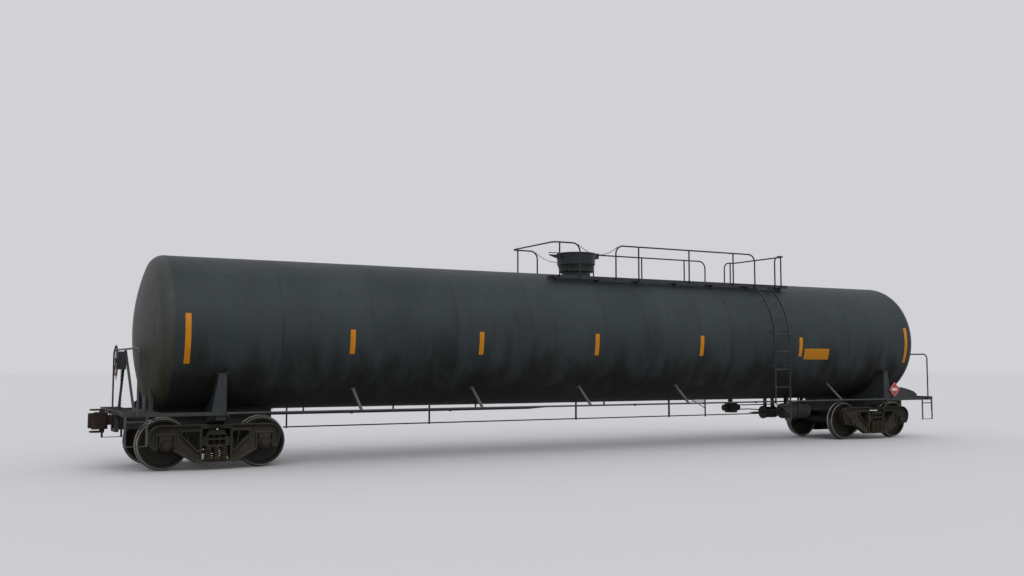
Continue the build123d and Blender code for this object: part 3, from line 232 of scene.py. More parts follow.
def makePiece(name, patches, finish, body, replaces=(), sharpAngle=35, bevel=0.0, fields=None):
    # the patches as one mesh: equal points of a shell merged, folded quads made triangles, faces outwards
    points, quads, shells = joined(patches)
    keys = np.column_stack([np.round(points, 6), shells])
    kept, index = np.unique(keys, axis=0, return_index=True, return_inverse=True)[1:]
    quads = index.reshape(-1)[quads]
    same = quads == np.roll(quads, -1, 1)
    folded = quads[same.sum(1) == 1]
    first = np.argmax(folded == np.roll(folded, -1, 1), 1)
    triangles = np.take_along_axis(folded, (first[:, None] + np.array([1, 2, 3])) % 4, 1)
    mesh = bpy.data.meshes.new(name)
    mesh.from_pydata(points[kept].tolist(), [], quads[same.sum(1) == 0].tolist() + triangles.tolist())
    for field, values in (fields or {}).items():
        data = mesh.attributes.new(field, "FLOAT", "POINT").data
        data.foreach_set("value", values[kept].astype(np.float32))
    shell = bmesh.new()
    shell.from_mesh(mesh)
    bmesh.ops.recalc_face_normals(shell, faces=shell.faces)
    shell.to_mesh(mesh)
    shell.free()
    piece = bpy.data.objects.new(name, mesh)
    bpy.context.scene.collection.objects.link(piece)
    shade(piece, sharpAngle)
    if bevel:
        edge = piece.modifiers.new("brokenEdges", "BEVEL")
        edge.width = bevel
        edge.segments = 2
        edge.limit_method = "ANGLE"
        edge.angle_limit = math.radians(sharpEdge)
    return placed(piece, finish, body, replaces)


def plainMesh(name, patch):
    # the patch's points and quads as they are
    mesh = bpy.data.meshes.new(name)
    mesh.from_pydata(patch[0].tolist(), [], patch[1].tolist())
    return mesh


def castPiece(node, finish, body, slot, cell, passes, lugs=(), pockets=()):
    # a casting: the CAD solid with its lugs and less its pockets, filled with small cells and smoothed, so
    # that its edges are round, then thinned
    mesh = nodes[node].data.copy()
    shell = bmesh.new()
    shell.from_mesh(mesh)
    if len(lugs):
        shell.from_mesh(plainMesh("lugs", boxPatch(*lugs)))
    bmesh.ops.remove_doubles(shell, verts=shell.verts, dist=castings["merge"])
    shell.to_mesh(mesh)
    shell.free()
    rough = bpy.data.objects.new(node + "_rough", mesh)
    bpy.context.scene.collection.objects.link(rough)
    if len(pockets):
        hollowing = rough.modifiers.new("hollowing", "BOOLEAN")
        hollowing.object = bpy.data.objects.new("pockets", plainMesh("pockets", boxPatch(*pockets)))
        bpy.context.scene.collection.objects.link(hollowing.object)
    cells = rough.modifiers.new("cells", "REMESH")
    cells.mode = "VOXEL"
    cells.voxel_size = cell
    rounding = rough.modifiers.new("rounding", "SMOOTH")
    rounding.factor = castings["rounding"]
    rounding.iterations = passes
    thinning = rough.modifiers.new("thinning", "DECIMATE")
    thinning.ratio = castings["keep"]
    cast = bpy.data.meshes.new_from_object(rough.evaluated_get(bpy.context.evaluated_depsgraph_get()))
    bpy.data.objects.remove(rough)
    if len(pockets):
        bpy.data.objects.remove(bpy.data.objects["pockets"])
    piece = bpy.data.objects.new(node + "_casting", cast)
    bpy.context.scene.collection.objects.link(piece)
    shade(piece, castings["sharpAngle"])
    return placed(piece, finish, body, (node,))


def linear(hexColour):
    # an sRGB hex colour as the linear values that a shader takes
    parts = [int(hexColour[i:i + 2], 16) / 255 for i in (1, 3, 5)]
    return [v / 12.92 if v <= 0.04045 else ((v + 0.055) / 1.055) ** 2.4 for v in parts] + [1.0]


def addNode(tree, kind, inputs=(), **settings):
    # adds a shader node with its settings; each input, by its name or in order, is linked to an output or set
    node = tree.nodes.new("ShaderNode" + kind)
    for name, value in settings.items():
        setattr(node, name, value)
    for socket, value in inputs.items() if isinstance(inputs, dict) else enumerate(inputs):
        if isinstance(value, bpy.types.Node):
            value = next(output for output in value.outputs if output.enabled)
        if isinstance(value, bpy.types.NodeSocket):
            tree.links.new(value, node.inputs[socket])
        else:
            node.inputs[socket].default_value = value
    return node


def newMaterial(name):
    # a material whose tree is still empty
    material = bpy.data.materials.new(name)
    material.use_nodes = True
    material.node_tree.nodes.clear()
    return material, material.node_tree


def addShader(tree, sockets):
    # the shader with what the finish worked out for its sockets, and the output that takes it
    addNode(tree, "OutputMaterial", {"Surface": addNode(tree, "BsdfPrincipled", sockets)})


def cloudMask(tree, coords, sizeMm, low, high, most=1.0, drawn=1.0, shift=0.0, detail=4.0):
    # clouds about sizeMm across, longer downwards where drawn is under 1, as a mask: 0 where they are under
    # low and most where they are over high
    place = addNode(tree, "Mapping", {"Vector": coords, "Location": (shift,) * 3, "Scale": (1, 1, drawn)})
    cloud = addNode(tree, "TexNoise", {"Vector": place, "Scale": 1000 / sizeMm, "Detail": detail})
    return addNode(tree, "MapRange", {
        "Value": cloud, "From Min": low, "From Max": high, "To Max": most}, interpolation_type="SMOOTHSTEP")


def stackedColours(tree, base, layers):
    # the base colour with each layer's colour over it, where its mask is
    colour = linear(base) if isinstance(base, str) else base
    for mask, over in layers:
        over = linear(over) if isinstance(over, str) else over
        colour = addNode(tree, "Mix", {0: mask, 6: colour, 7: over}, data_type="RGBA")
    return colour


# what the weather does to every finish below; a mask's entry is where its clouds start, where they are full
# and its shift, which keeps it unlike the others
weather = {
    "faded": (0.35, 0.68, 0), "grain": (0.25, 0.75, 3), "runs": (0.50, 0.74, 7), "chipped": (0.42, 0.62, 17),
    "broken": (0.30, 0.70, 19), "brokenLeast": 0.4, "brokenDetail": 6.0, "runDrawn": 0.12,
    "rustStart": 0.80, "rustSpan": 0.5, "rustBorder": 0.09, "rustShift": 11, "rustDetail": 7.0,
    "chipMm": 35, "edgeTurn": (0.97, 0.86), "topSlope": (0.2, 0.95), "roughSpread": 0.14, "dullRough": 0.28,
    "bump": 0.5,
}


def weathered(name, look):
    # steel that stood outdoors for years: faded in clouds, run down by rain, rusty in spots and along edges,
    # with dust on what faces up and on what is low
    material, tree = newMaterial(name)
    coords = addNode(tree, "TexCoord").outputs["Object"]
    height = addNode(tree, "SeparateXYZ", (coords,)).outputs["Z"]
    normal = addNode(tree, "NewGeometry").outputs["Normal"]
    upward = addNode(tree, "SeparateXYZ", (normal,)).outputs["Z"]
    rounded = addNode(tree, "Bevel", {"Radius": look["edgeMm"] / 1000}, samples=4)
    turn = addNode(tree, "VectorMath", (rounded, normal), operation="DOT_PRODUCT")

    def mask(kind, sizeMm, **more):
        # one of the weather's masks
        low, high, shift = weather[kind]
        return cloudMask(tree, coords, sizeMm, low, high, shift=look["seed"] + shift, **more)

    faded = mask("faded", look["patchMm"])
    grain = mask("grain", look["grainMm"])
    runs = mask("runs", look["runMm"], most=look["runShare"], drawn=weather["runDrawn"])
    chipped = mask("chipped", weather["chipMm"], most=look["edgeShare"])
    broken = mask("broken", look["patchMm"] / 3, detail=weather["brokenDetail"])
    start = weather["rustStart"] - weather["rustSpan"] * look["rustShare"]
    rust = cloudMask(tree, coords, look["rustMm"], start, start + weather["rustBorder"],
                     shift=look["seed"] + weather["rustShift"], detail=weather["rustDetail"])
    start, full = weather["edgeTurn"]
    edges = addNode(tree, "MapRange", {"Value": turn.outputs["Value"], "From Min": start, "From Max": full})
    edges = addNode(tree, "Math", (edges, chipped), operation="MULTIPLY")
    rusty = addNode(tree, "Math", (rust, edges), operation="MAXIMUM")
    rustTone = stackedColours(tree, look["rust"], [(grain, look["rustDark"])])
    start, full = weather["topSlope"]
    tops = addNode(tree, "MapRange", {"Value": upward, "From Min": start, "From Max": full,
                                      "To Max": look["dustTop"]})
    low = addNode(tree, "MapRange", {"Value": height, "From Min": look["dustHigh"],
                                     "From Max": look["dustLow"], "To Max": look["dustShare"]})
    dust = addNode(tree, "Math", (tops, low), operation="MAXIMUM")
    least = weather["brokenLeast"]
    broken = addNode(tree, "Math", (broken, 1 - least, least), operation="MULTIPLY_ADD")
    dust = addNode(tree, "Math", (dust, broken), operation="MULTIPLY")
    colour = stackedColours(tree, look["base"], [
        (faded, look["shade"]), (runs, look["run"]), (rusty, rustTone), (dust, look["dust"])])
    dull = addNode(tree, "Math", (rusty, dust), operation="MAXIMUM")
    spread = weather["roughSpread"]
    rough = addNode(tree, "Math", (grain, spread, look["roughness"] - spread / 2), operation="MULTIPLY_ADD")
    rough = addNode(tree, "Math", (dull, weather["dullRough"], rough), operation="MULTIPLY_ADD",
                    use_clamp=True)
    relief = addNode(tree, "Math", (rust, look["scab"], grain), operation="MULTIPLY_ADD")
    bump = addNode(tree, "Bump", {"Height": relief, "Strength": weather["bump"],
                                  "Distance": look["bumpMm"] / 1000, "Normal": rounded})
    addShader(tree, {"Base Color": colour, "Roughness": rough, "Metallic": look["metallic"],
                     "Specular IOR Level": look["specular"], "Normal": bump})
    return material


# alkyd enamel sprayed on welded plate: an even satin film gone dull, rust where it chipped, dust low down
plateEnamel = {
    "base": "#33373a", "shade": "#2a2e30", "run": "#1f2224", "rust": "#5c3826", "rustDark": "#34231a",
    "dust": "#57534a", "runShare": 0.5, "rustShare": 0.12, "edgeShare": 0.5, "dustShare": 0.5, "dustTop": 0.6,
    "dustHigh": 1.3, "dustLow": 0.4, "roughness": 0.58, "specular": 0.3, "metallic": 0.0, "patchMm": 420,
    "runMm": 60, "rustMm": 130, "grainMm": 9, "edgeMm": 4, "bumpMm": 0.5, "scab": 0.5, "seed": 0.0,
}
# the same enamel brushed on bent pipe: glossier, chipped by boots and gloves
pipeEnamel = dict(plateEnamel, base="#28292e", shade="#202125", rustShare=0.14, rustMm=70, dustTop=0.3,
                  dustShare=0.3, roughness=0.5, grainMm=6, edgeMm=2, bumpMm=0.3, seed=2.0)
# the same on ladders and low rails, painted paler than the jacket: a painted highlight for the light on the
# thin rails
ladderEnamelPaintedLight = dict(pipeEnamel, base="#484b4d", shade="#3a3d3f", run="#2a2c2d", seed=41.0)
# the same enamel on the valve housing, stained by the valves' oil
housingEnamel = dict(plateEnamel, base="#2c3132", shade="#232728", run="#181a1b", runShare=0.7, dustTop=0.4,
                     rustShare=0.14, rustMm=90, roughness=0.5, edgeMm=3, seed=5.0)
# hot-dip galvanised bar grating, painted once and walked bare again: flat grey with dark wear
galvanisedGrating = dict(plateEnamel, base="#414446", shade="#333638", rustShare=0.16, rustMm=50, dustTop=0.3,
                         edgeMm=1, roughness=0.6, metallic=0.3, seed=8.0)
# sand-cast steel never painted: brown grey, matt, a baked dust coat over a grainy skin
castSteel = dict(plateEnamel, base="#312e26", shade="#24221b", run="#181612", rust="#4c3121",
                 rustDark="#302017", dust="#514c40", runShare=0.6, rustShare=0.20, edgeShare=0.35,
                 dustShare=0.42, dustTop=0.7, dustHigh=1.0, dustLow=0.1, roughness=0.75, specular=0.25,
                 patchMm=260, runMm=45, rustMm=120, grainMm=6, edgeMm=5, bumpMm=1.0, scab=0.8, seed=11.0)
# cast coupler steel, rubbed and always wet with rust: warmer and darker than the frames
couplerSteel = dict(castSteel, base="#35281f", shade="#281f18", rust="#5a3522", rustShare=0.30, dustTop=0.4,
                    dustShare=0.25, seed=14.0)
# hot-wound spring bar: scale and rust under dust
springSteel = dict(castSteel, base="#3a2e22", shade="#2a211a", rustShare=0.32, rust="#5f3c26", grainMm=4,
                   edgeMm=1, bumpMm=0.4, dustShare=0.45, seed=17.0)
# hardened bearing rings and end caps: a brown rust film, dark where grease flew out
bearingSteel = dict(castSteel, base="#382f28", shade="#29231d", rust="#57392a", rustShare=0.24, run="#191613",
                    runShare=0.8, dustShare=0.3, edgeMm=2, roughness=0.65, seed=19.0)
# black asphalt varnish on the brake gear, under brown brake dust
asphaltBlack = dict(plateEnamel, base="#1f2122", shade="#191a1b", rustShare=0.16, dustShare=0.35, edgeMm=3,
                    seed=23.0)
# zinc-plated chain and valve bodies: the zinc gone dull, rust in its pits
zincSteel = dict(plateEnamel, base="#606263", shade="#4a4c4d", run="#38352f", rust="#6b452d", rustShare=0.14,
                 dustTop=0.2, dustShare=0.1, metallic=0.7, roughness=0.5, grainMm=3, rustMm=25, edgeMm=1,
                 bumpMm=0.2, seed=29.0)
# a paler coat of the same enamel on the handrail's braces, chalked by the sun
braceEnamel = dict(plateEnamel, base="#63676a", shade="#52565a", dustShare=0.2, rustMm=60, edgeMm=2,
                   seed=37.0)
# zinc-plated bolts painted over with the frame
boltEnamel = dict(plateEnamel, base="#414446", rustShare=0.30, rustMm=20, edgeMm=1, grainMm=3, bumpMm=0.2,
                  seed=31.0)

finishes = {
    "plate": weathered("plateEnamel", plateEnamel),
    "pipe": weathered("pipeEnamel", pipeEnamel),
    "ladder": weathered("ladderEnamelPaintedLight", ladderEnamelPaintedLight),
    "housing": weathered("housingEnamel", housingEnamel),
    "grating": weathered("galvanisedGrating", galvanisedGrating),
    "cast": weathered("castSteel", castSteel),
    "coupler": weathered("couplerSteel", couplerSteel),
    "spring": weathered("springSteel", springSteel),
    "bearing": weathered("bearingSteel", bearingSteel),
    "brake": weathered("asphaltBlack", asphaltBlack),
    "zinc": weathered("zincSteel", zincSteel),
    "brace": weathered("braceEnamel", braceEnamel),
    "bolt": weathered("boltEnamel", boltEnamel),
}


def jacketEnamel():
    # polyurethane enamel sprayed on the thin steel jacket: satin blue grey above; darker below, browned by
    # road spray and darkened with painted shade of its underside; soot runs down its side, painted light on
    # its heads, dirt in the seams
    look = {
        "paint": "#353c3f", "faded": "#2f3638", "sprayAndShade": "#13120f", "film": "#39362f", "soot": "#1b1f20",
        "headLitTone": "#57534c", "algae": "#3a3823", "seam": "#0f1112", "sprayAndShadeZ": (2.45, 1.25),
        "filmZ": (2.85, 1.45), "filmShare": 0.22, "algaeZ": (2.9, 1.6), "headX": (9.275, 9.335),
        "headLightShare": 0.44, "headLightGaps": 0.7, "wave": 0.9, "toneStep": 0.002, "roughness": 0.50,
        "roughSpread": 0.10, "sprayDull": 0.35, "dullRough": 0.40, "specular": 0.18, "bump": (0.3, 0.0003),
    }
    # a mask's size in millimetres, start, full, most, how it is drawn out downwards, shift and detail
    masks = ((1100, 0.35, 0.70, 1.0, 1.0, 0.0, 5.0), (12, 0.25, 0.75, 1.0, 1.0, 4.0),
             (150, 0.46, 0.74, 0.20, 0.06, 9.0), (75, 0.30, 0.68, 0.8, 0.08, 21.0),
             (430, 0.25, 0.75, 1.0, 0.20, 12.0))
    material, tree = newMaterial("jacketEnamel")
    coords = addNode(tree, "TexCoord").outputs["Object"]
    place = addNode(tree, "SeparateXYZ", (coords,))
    x, z = (place.outputs[axis] for axis in "XZ")
    sheet, seam = (addNode(tree, "Attribute", attribute_name=name).outputs["Fac"]
                   for name in ("sheetTone", "seamDirt"))
    clouds, grain, runs, gaps, wide = (cloudMask(tree, coords, *mask) for mask in masks)
    # the road spray with its painted shade, and the dull film over it, end at a height that waves up and down
    wavy = addNode(tree, "Math", (wide, look["wave"], z), operation="MULTIPLY_ADD")
    high, low = (limit + look["wave"] / 2 for limit in look["sprayAndShadeZ"])
    sprayAndShade = addNode(tree, "MapRange", {"Value": wavy, "From Min": high, "From Max": low},
                    interpolation_type="SMOOTHSTEP")
    high, low = (limit + look["wave"] / 2 for limit in look["filmZ"])
    film = addNode(tree, "MapRange", {"Value": wavy, "From Min": high, "From Max": low,
                                      "To Max": look["filmShare"]})
    film = addNode(tree, "Math", (film, gaps), operation="MULTIPLY")
    endX = addNode(tree, "Math", (x,), operation="ABSOLUTE")
    start, full = look["headX"]
    head = addNode(tree, "MapRange", {"Value": endX, "From Min": start, "From Max": full})
    high, low = look["algaeZ"]
    growth = addNode(tree, "MapRange", {"Value": z, "From Min": high, "From Max": low})
    growth = addNode(tree, "Math", (head, growth), operation="MULTIPLY")
    growth = addNode(tree, "Math", (growth, wide), operation="MULTIPLY")
    # painted light: the heads are drawn paler, as light falls on them, broken up by the gaps mask
    headLight = addNode(tree, "Math", (gaps, -look["headLightGaps"], 1.0), operation="MULTIPLY_ADD")
    headLight = addNode(tree, "Math", (headLight, look["headLightShare"]), operation="MULTIPLY")
    headLight = addNode(tree, "Math", (headLight, head), operation="MULTIPLY")
    # the spray layer darkens the lower jacket: partly road dirt, partly painted shade of the underside
    colour = stackedColours(tree, look["paint"], [
        (clouds, look["faded"]), (sprayAndShade, look["sprayAndShade"]), (film, look["film"]), (runs, look["soot"]),
        (headLight, look["headLitTone"]), (growth, look["algae"])])
    tone = addNode(tree, "Math", (sheet, look["toneStep"]), operation="MULTIPLY")
    toned = addNode(tree, "BrightContrast", {"Color": colour, "Bright": tone})
    colour = stackedColours(tree, toned.outputs[0], [(seam, look["seam"])])
    dull = addNode(tree, "Math", (film, seam), operation="ADD")
    dull = addNode(tree, "Math", (sprayAndShade, look["sprayDull"], dull), operation="MULTIPLY_ADD")
    rough = addNode(tree, "Math", (grain, look["roughSpread"], look["roughness"] - look["roughSpread"] / 2),
                    operation="MULTIPLY_ADD")
    rough = addNode(tree, "Math", (dull, look["dullRough"], rough), operation="MULTIPLY_ADD", use_clamp=True)
    strength, deep = look["bump"]
    bump = addNode(tree, "Bump", {"Height": grain, "Strength": strength, "Distance": deep})
    addShader(tree, {"Base Color": colour, "Roughness": rough, "Specular IOR Level": look["specular"],
                     "Normal": bump})
    return material


def wheelSteel(name, centre):
    # forged and heat-treated wheel steel: scale and rust on the plate with flung grease, the rim's face
    # rubbed grey, the tread rolled smooth and dark, its front edge and the flange's tip bright
    look = {
        "plate": "#24211b", "plateDark": "#181611", "rust": "#39291d", "grease": "#14110f", "rim": "#4b4842",
        "tread": "#5b5852", "worn": "#b3aea5", "rimRadius": (0.430, 0.444), "treadRadius": (0.4465, 0.4515),
        "edgeRadius": ((0.4425, 0.4445), (0.4535, 0.4515), (0.474, 0.478)), "wornShare": 0.85, "fans": 3.0,
        "specular": 0.3, "metal": 0.8, "roughness": 0.55, "roughSpread": 0.20, "treadSmooth": 0.36,
        "bump": (0.5, 0.0006),
    }
    # a mask's size in millimetres, start, full, most, how it is drawn out downwards, shift and detail
    masks = ((90, 0.36, 0.66, 1.0, 1.0, 3.0, 5.0), (70, 0.56, 0.70, 0.7, 1.0, 13.0, 6.0),
             (6, 0.25, 0.75, 1.0, 1.0, 5.0), (60, 0.30, 0.66, 0.75, 1.0, 8.0))
    flungMask = (260, 0.50, 0.74, 0.7)
    material, tree = newMaterial(name)
    coords = addNode(tree, "TexCoord").outputs["Object"]
    local = addNode(tree, "Mapping", {"Vector": coords, "Location": [-v for v in centre]})
    place = addNode(tree, "SeparateXYZ", (local,))
    x, z = (place.outputs[axis] for axis in "XZ")
    flat = addNode(tree, "CombineXYZ", {"X": x, "Z": z})
    radius = addNode(tree, "VectorMath", (flat,), operation="LENGTH")
    # grease is flung outwards in fans: its clouds lie in turns round the axle and distance from it
    angle = addNode(tree, "Math", (z, x), operation="ARCTAN2")
    angle = addNode(tree, "Math", (angle, look["fans"]), operation="MULTIPLY")
    flung = cloudMask(tree, addNode(tree, "CombineXYZ", {"X": angle, "Y": radius}), *flungMask)
    clouds, rust, grain, rubbed = (cloudMask(tree, coords, *mask) for mask in masks)
    rim, tread = (addNode(tree, "MapRange", {"Value": radius, "From Min": start, "From Max": full})
                  for start, full in (look["rimRadius"], look["treadRadius"]))
    rim = addNode(tree, "Math", (rim, rubbed), operation="MULTIPLY")
    rising, falling, tip = (addNode(tree, "MapRange", {"Value": radius, "From Min": start, "From Max": full,
                                                       "To Max": look["wornShare"]})
                            for start, full in look["edgeRadius"])
    front = addNode(tree, "Math", (rising, falling), operation="MINIMUM")
    worn = addNode(tree, "Math", (front, tip), operation="MAXIMUM")
    colour = stackedColours(tree, look["plate"], [
        (clouds, look["plateDark"]), (rust, look["rust"]), (flung, look["grease"]), (rim, look["rim"]),
        (tread, look["tread"]), (worn, look["worn"])])
    metal = addNode(tree, "Math", (tread, look["metal"]), operation="MULTIPLY")
    rough = addNode(tree, "Math", (grain, look["roughSpread"], look["roughness"]), operation="MULTIPLY_ADD")
    rough = addNode(tree, "Math", (tread, -look["treadSmooth"], rough), operation="MULTIPLY_ADD",
                    use_clamp=True)
    relief = addNode(tree, "Math", (tread, -1.0, 1.0), operation="MULTIPLY_ADD")
    relief = addNode(tree, "Math", (relief, grain), operation="MULTIPLY")
    strength, deep = look["bump"]
    bump = addNode(tree, "Bump", {"Height": relief, "Strength": strength, "Distance": deep})
    addShader(tree, {"Base Color": colour, "Roughness": rough, "Metallic": metal,
                     "Specular IOR Level": look["specular"], "Normal": bump})
    return material


def sheeting(name, film, seal, cellMm):
    # printed plastic sheeting, heat-sealed in small cells: flat bright colour with a fine net that road film
    # dims; the 4 mm cells are drawn larger so that they show
    look = {"dirt": "#5c400f", "dirtMask": (60, 0.48, 0.80, 0.35, 0.3, 6.0), "sealShare": 1 / 12,
            "cellTurn": 45, "roughness": 0.34, "dirtRough": 0.5, "specular": 0.25}
    material, tree = newMaterial(name)
    coords = addNode(tree, "TexCoord").outputs["Object"]
    turned = addNode(tree, "Mapping", {"Vector": coords, "Rotation": (0, math.radians(look["cellTurn"]), 0)})
    place = addNode(tree, "SeparateXYZ", (turned,))
    x, z = (place.outputs[axis] for axis in "XZ")
    cell = cellMm / 1000
    cells = addNode(tree, "TexBrick", {
        "Vector": addNode(tree, "CombineXYZ", {"X": x, "Y": z}), "Color1": linear(film),
        "Color2": linear(film), "Mortar": linear(seal), "Scale": 1.0, "Mortar Size": cell * look["sealShare"],
        "Brick Width": cell, "Row Height": cell})
    dirt = cloudMask(tree, coords, *look["dirtMask"])
    colour = stackedColours(tree, cells.outputs["Color"], [(dirt, look["dirt"])])
    rough = addNode(tree, "Math", (dirt, look["dirtRough"], look["roughness"]), operation="MULTIPLY_ADD")
    addShader(tree, {"Base Color": colour, "Roughness": rough, "Specular IOR Level": look["specular"]})
    return material


def placardPrint():
    # screen ink on rolled aluminium sheet: red with a white line and a blank white middle, chalked and dusty
    look = {"red": "#b0242c", "white": "#d6d3cc", "dust": "#6d6457", "lineIn": 0.166, "lineOut": 0.175,
            "middle": (0.088, 0.036), "wearMask": (30, 0.50, 0.80, 0.5, 1.0, 8.0, 5.0), "roughness": 0.42,
            "wearRough": 0.4}
    material, tree = newMaterial("placardPrint")
    coords = addNode(tree, "TexCoord").outputs["Object"]
    across, up = (addNode(tree, "Attribute", attribute_name=name).outputs["Fac"]
                  for name in ("acrossField", "upField"))
    across, up = (addNode(tree, "Math", (value,), operation="ABSOLUTE") for value in (across, up))
    reach = addNode(tree, "Math", (across, up), operation="ADD")
    inner, outer = (addNode(tree, "Math", (reach, look[edge]), operation=test)
                    for edge, test in (("lineIn", "GREATER_THAN"), ("lineOut", "LESS_THAN")))
    line = addNode(tree, "Math", (inner, outer), operation="MULTIPLY")
    wide, high = (addNode(tree, "Math", (value, limit), operation="LESS_THAN")
                  for value, limit in zip((across, up), look["middle"]))
    middle = addNode(tree, "Math", (wide, high), operation="MULTIPLY")
    wear = cloudMask(tree, coords, *look["wearMask"])
    colour = stackedColours(tree, look["red"], [
        (line, look["white"]), (middle, look["white"]), (wear, look["dust"])])
    rough = addNode(tree, "Math", (wear, look["wearRough"], look["roughness"]), operation="MULTIPLY_ADD")
    addShader(tree, {"Base Color": colour, "Roughness": rough})
    return material


finishes["jacket"] = jacketEnamel()
finishes["stripe"] = sheeting("reflectiveSheeting", "#d68a0c", "#b26d08", 14)
finishes["label"] = sheeting("labelVinyl", "#c2800f", "#b8760d", 30)
finishes["placard"] = placardPrint()

# the CAD nodes of each finish, then those at each end and in each truck, whose names say which
carNodes = {
    "jacket": ("tank_shell",),
    "plate": ("placard_holders", "hand_brake_stand"),
    "pipe": ("railing_left", "railing_right", "side_rails", "hand_brake_wheel", "uncoupling_levers"),
    "ladder": ("corner_steps", "side_handrail_far", "side_handrail_near", "ladder_far", "ladder_near"),
    "grating": ("top_platform",),
    "housing": ("manway_neck", "manway_cover", "protective_housing", "housing_cover"),
    "zinc": ("safety_chains", "relief_valve", "angle_valves"),
    "brake": ("air_reservoir", "brake_cylinder", "control_valve", "brake_pipe", "brake_rods"),
}
endNodes = {"plate": ("saddle", "stub_sill", "end_frame"), "grating": ("end_platform",),
            "ladder": ("end_railing",), "coupler": ("coupler", "knuckle")}
truckNodes = {"cast": ("side_frame_near", "side_frame_far", "bolster", "brake_beams"), "spring": ("springs",),
              "bearing": ("bearings",)}
nodeFinish = {node: finish for finish, group in carNodes.items() for node in group}
for end, side in ends:
    nodeFinish |= {f"{node}_{end}": finish for finish, group in endNodes.items() for node in group}
    nodeFinish |= {f"truck_{end}_{part}": finish for finish, group in truckNodes.items() for part in group}
    for place, centre in axles(side, 0):
        finish = f"wheel_{end}_{place}"
        finishes[finish] = wheelSteel(f"wheelSteel_{end}_{place}", centre)
        nodeFinish[f"wheelset_{end}_{place}"] = finish
for name, node in nodes.items():
    node.data.materials.clear()
    node.data.materials.append(finishes[nodeFinish[name]])
print("stage: materials")

# a dent is its place along the car, its height and its depth; nearSeam is how far the extra rows of points
# lie from a seam, and leastStep the nearest that two rows come
jacket = {
    "seams": (-9.29, -7.37, -5.57, -3.78, -2.02, -0.21, 1.30, 2.41, 3.36, 5.20, 7.12, 9.29),
    "creases": (0.001, 0.0045, 0.002, 0.0045, 0.0035, 0.001, 0.001, 0.0035, 0.0045, 0.002, 0.002, 0.001),
    "creaseWidth": 0.07, "wander": 0.012, "lap": 0.0008, "wave": 0.0016, "waveShare": 0.45,
    "dents": ((-1.65, 2.84, 0.008), (-1.50, 2.18, 0.007), (4.05, 1.95, 0.006), (-6.60, 1.85, 0.006)),
    "dentWidth": 0.075, "dentLong": 0.6, "crown": 3.700, "crownSteps": 26, "knuckle": 0.255,
    "knuckleSteps": 12, "poleRadius": 0.4, "around": 176, "rows": (-9.22, 9.24, 0.070),
    "nearSeam": (0.005, 0.014, 0.03, 0.06, 0.10, 0.16), "leastStep": 0.0042,
    "lineWidth": 0.009, "lineLeast": 0.25, "smudgeWidth": 0.05, "smudgeShare": 0.2, "dirtShare": 0.6,
    "dirtLeast": 0.12, "dirtFrom": 0.375, "toneSeed": 7,
}
seams = np.array(jacket["seams"])
creases = np.array(jacket["creases"])


def seamDistance(x, angle):
    # distance to each seam, which wanders a little round the tank
    return x[..., None] - seams - jacket["wander"] * np.sin(2 * angle[..., None] + 5 * seams)


def jacketSink(x, angle):
    # how far the sheet lies inside the round tank: its lap over the next sheet, a soft crease along each
    # seam, a slow waviness, and dents; angle 0 looks to the near side and grows upwards, and the waves'
    # counts and starts are free choices
    spot = np.clip(np.searchsorted(seams, x, side="right") - 1, 0, len(seams) - 2)
    share = np.clip((x - seams[spot]) / (seams[spot + 1] - seams[spot]), 0, 1)
    strength = np.clip(0.45 + 0.55 * np.cos(2 * angle[..., None] + 0.4 + 0.9 * np.sin(seams)), 0, 1)
    folds = creases * strength * np.exp(-(seamDistance(x, angle) / jacket["creaseWidth"]) ** 2)
    bulge = np.sin(2.9 * x + 1.3 * np.sin(3 * angle)) * np.sin(5 * angle + 1.7 * x)
    bulge = 1 + jacket["waveShare"] * (bulge + np.sin(1.1 * x + 4 * angle))
    inside = (np.abs(x) < car["seamX"]).astype(float)
    sink = folds.sum(-1) + (jacket["lap"] * share + jacket["wave"] * bulge) * inside
    for dentX, dentZ, deep in jacket["dents"]:
        rise = car["tankRadius"] * (angle - math.asin((dentZ - car["tankZ"]) / car["tankRadius"]))
        away = (x - dentX) ** 2 + jacket["dentLong"] * rise ** 2
        sink = sink + deep * np.exp(-away / jacket["dentWidth"] ** 2)
    return sink


def seamDirtAt(x, angle):
    # a thin line along each seam in a wide smudge, broken up, and strongest on the tank's sides: it starts
    # where the cosine of the angle is dirtFrom
    away = np.abs(seamDistance(x, angle))
    depth = creases / creases.max()
    least = jacket["lineLeast"]
    lines = (least + (1 - least) * depth) * np.exp(-(away / jacket["lineWidth"]) ** 2)
    smudge = jacket["smudgeShare"] * depth * np.exp(-(away / jacket["smudgeWidth"]) ** 2)
    breaks = 0.5 + 0.5 * np.sin(3 * angle + 2 * x) * np.sin(7 * angle + x)
    sides = np.clip((np.abs(np.cos(angle)) - jacket["dirtFrom"]) / (1 - jacket["dirtFrom"]), 0, 1)
    shown = jacket["dirtLeast"] + (1 - jacket["dirtLeast"]) * sides * breaks
    return np.clip((lines.max(-1) + smudge.max(-1)) * jacket["dirtShare"] * shown, 0, 1)


def headProfile():
    # half the head as x and radius: the crown's arc from the pole, then the knuckle's arc to the seam
    crown, knuckle = jacket["crown"], jacket["knuckle"]
    rise, reach = car["tankRadius"] - knuckle, crown - knuckle
    slope = math.asin(rise / reach)
    crownTurn = np.linspace(0, slope, jacket["crownSteps"])
    knuckleTurn = np.linspace(slope, math.pi / 2, jacket["knuckleSteps"])[1:]
    x = np.concatenate([car["seamX"] - math.sqrt(reach ** 2 - rise ** 2) + crown * np.cos(crownTurn),
                        car["seamX"] + knuckle * np.cos(knuckleTurn)])
    return x, np.concatenate([crown * np.sin(crownTurn), rise + knuckle * np.sin(knuckleTurn)])


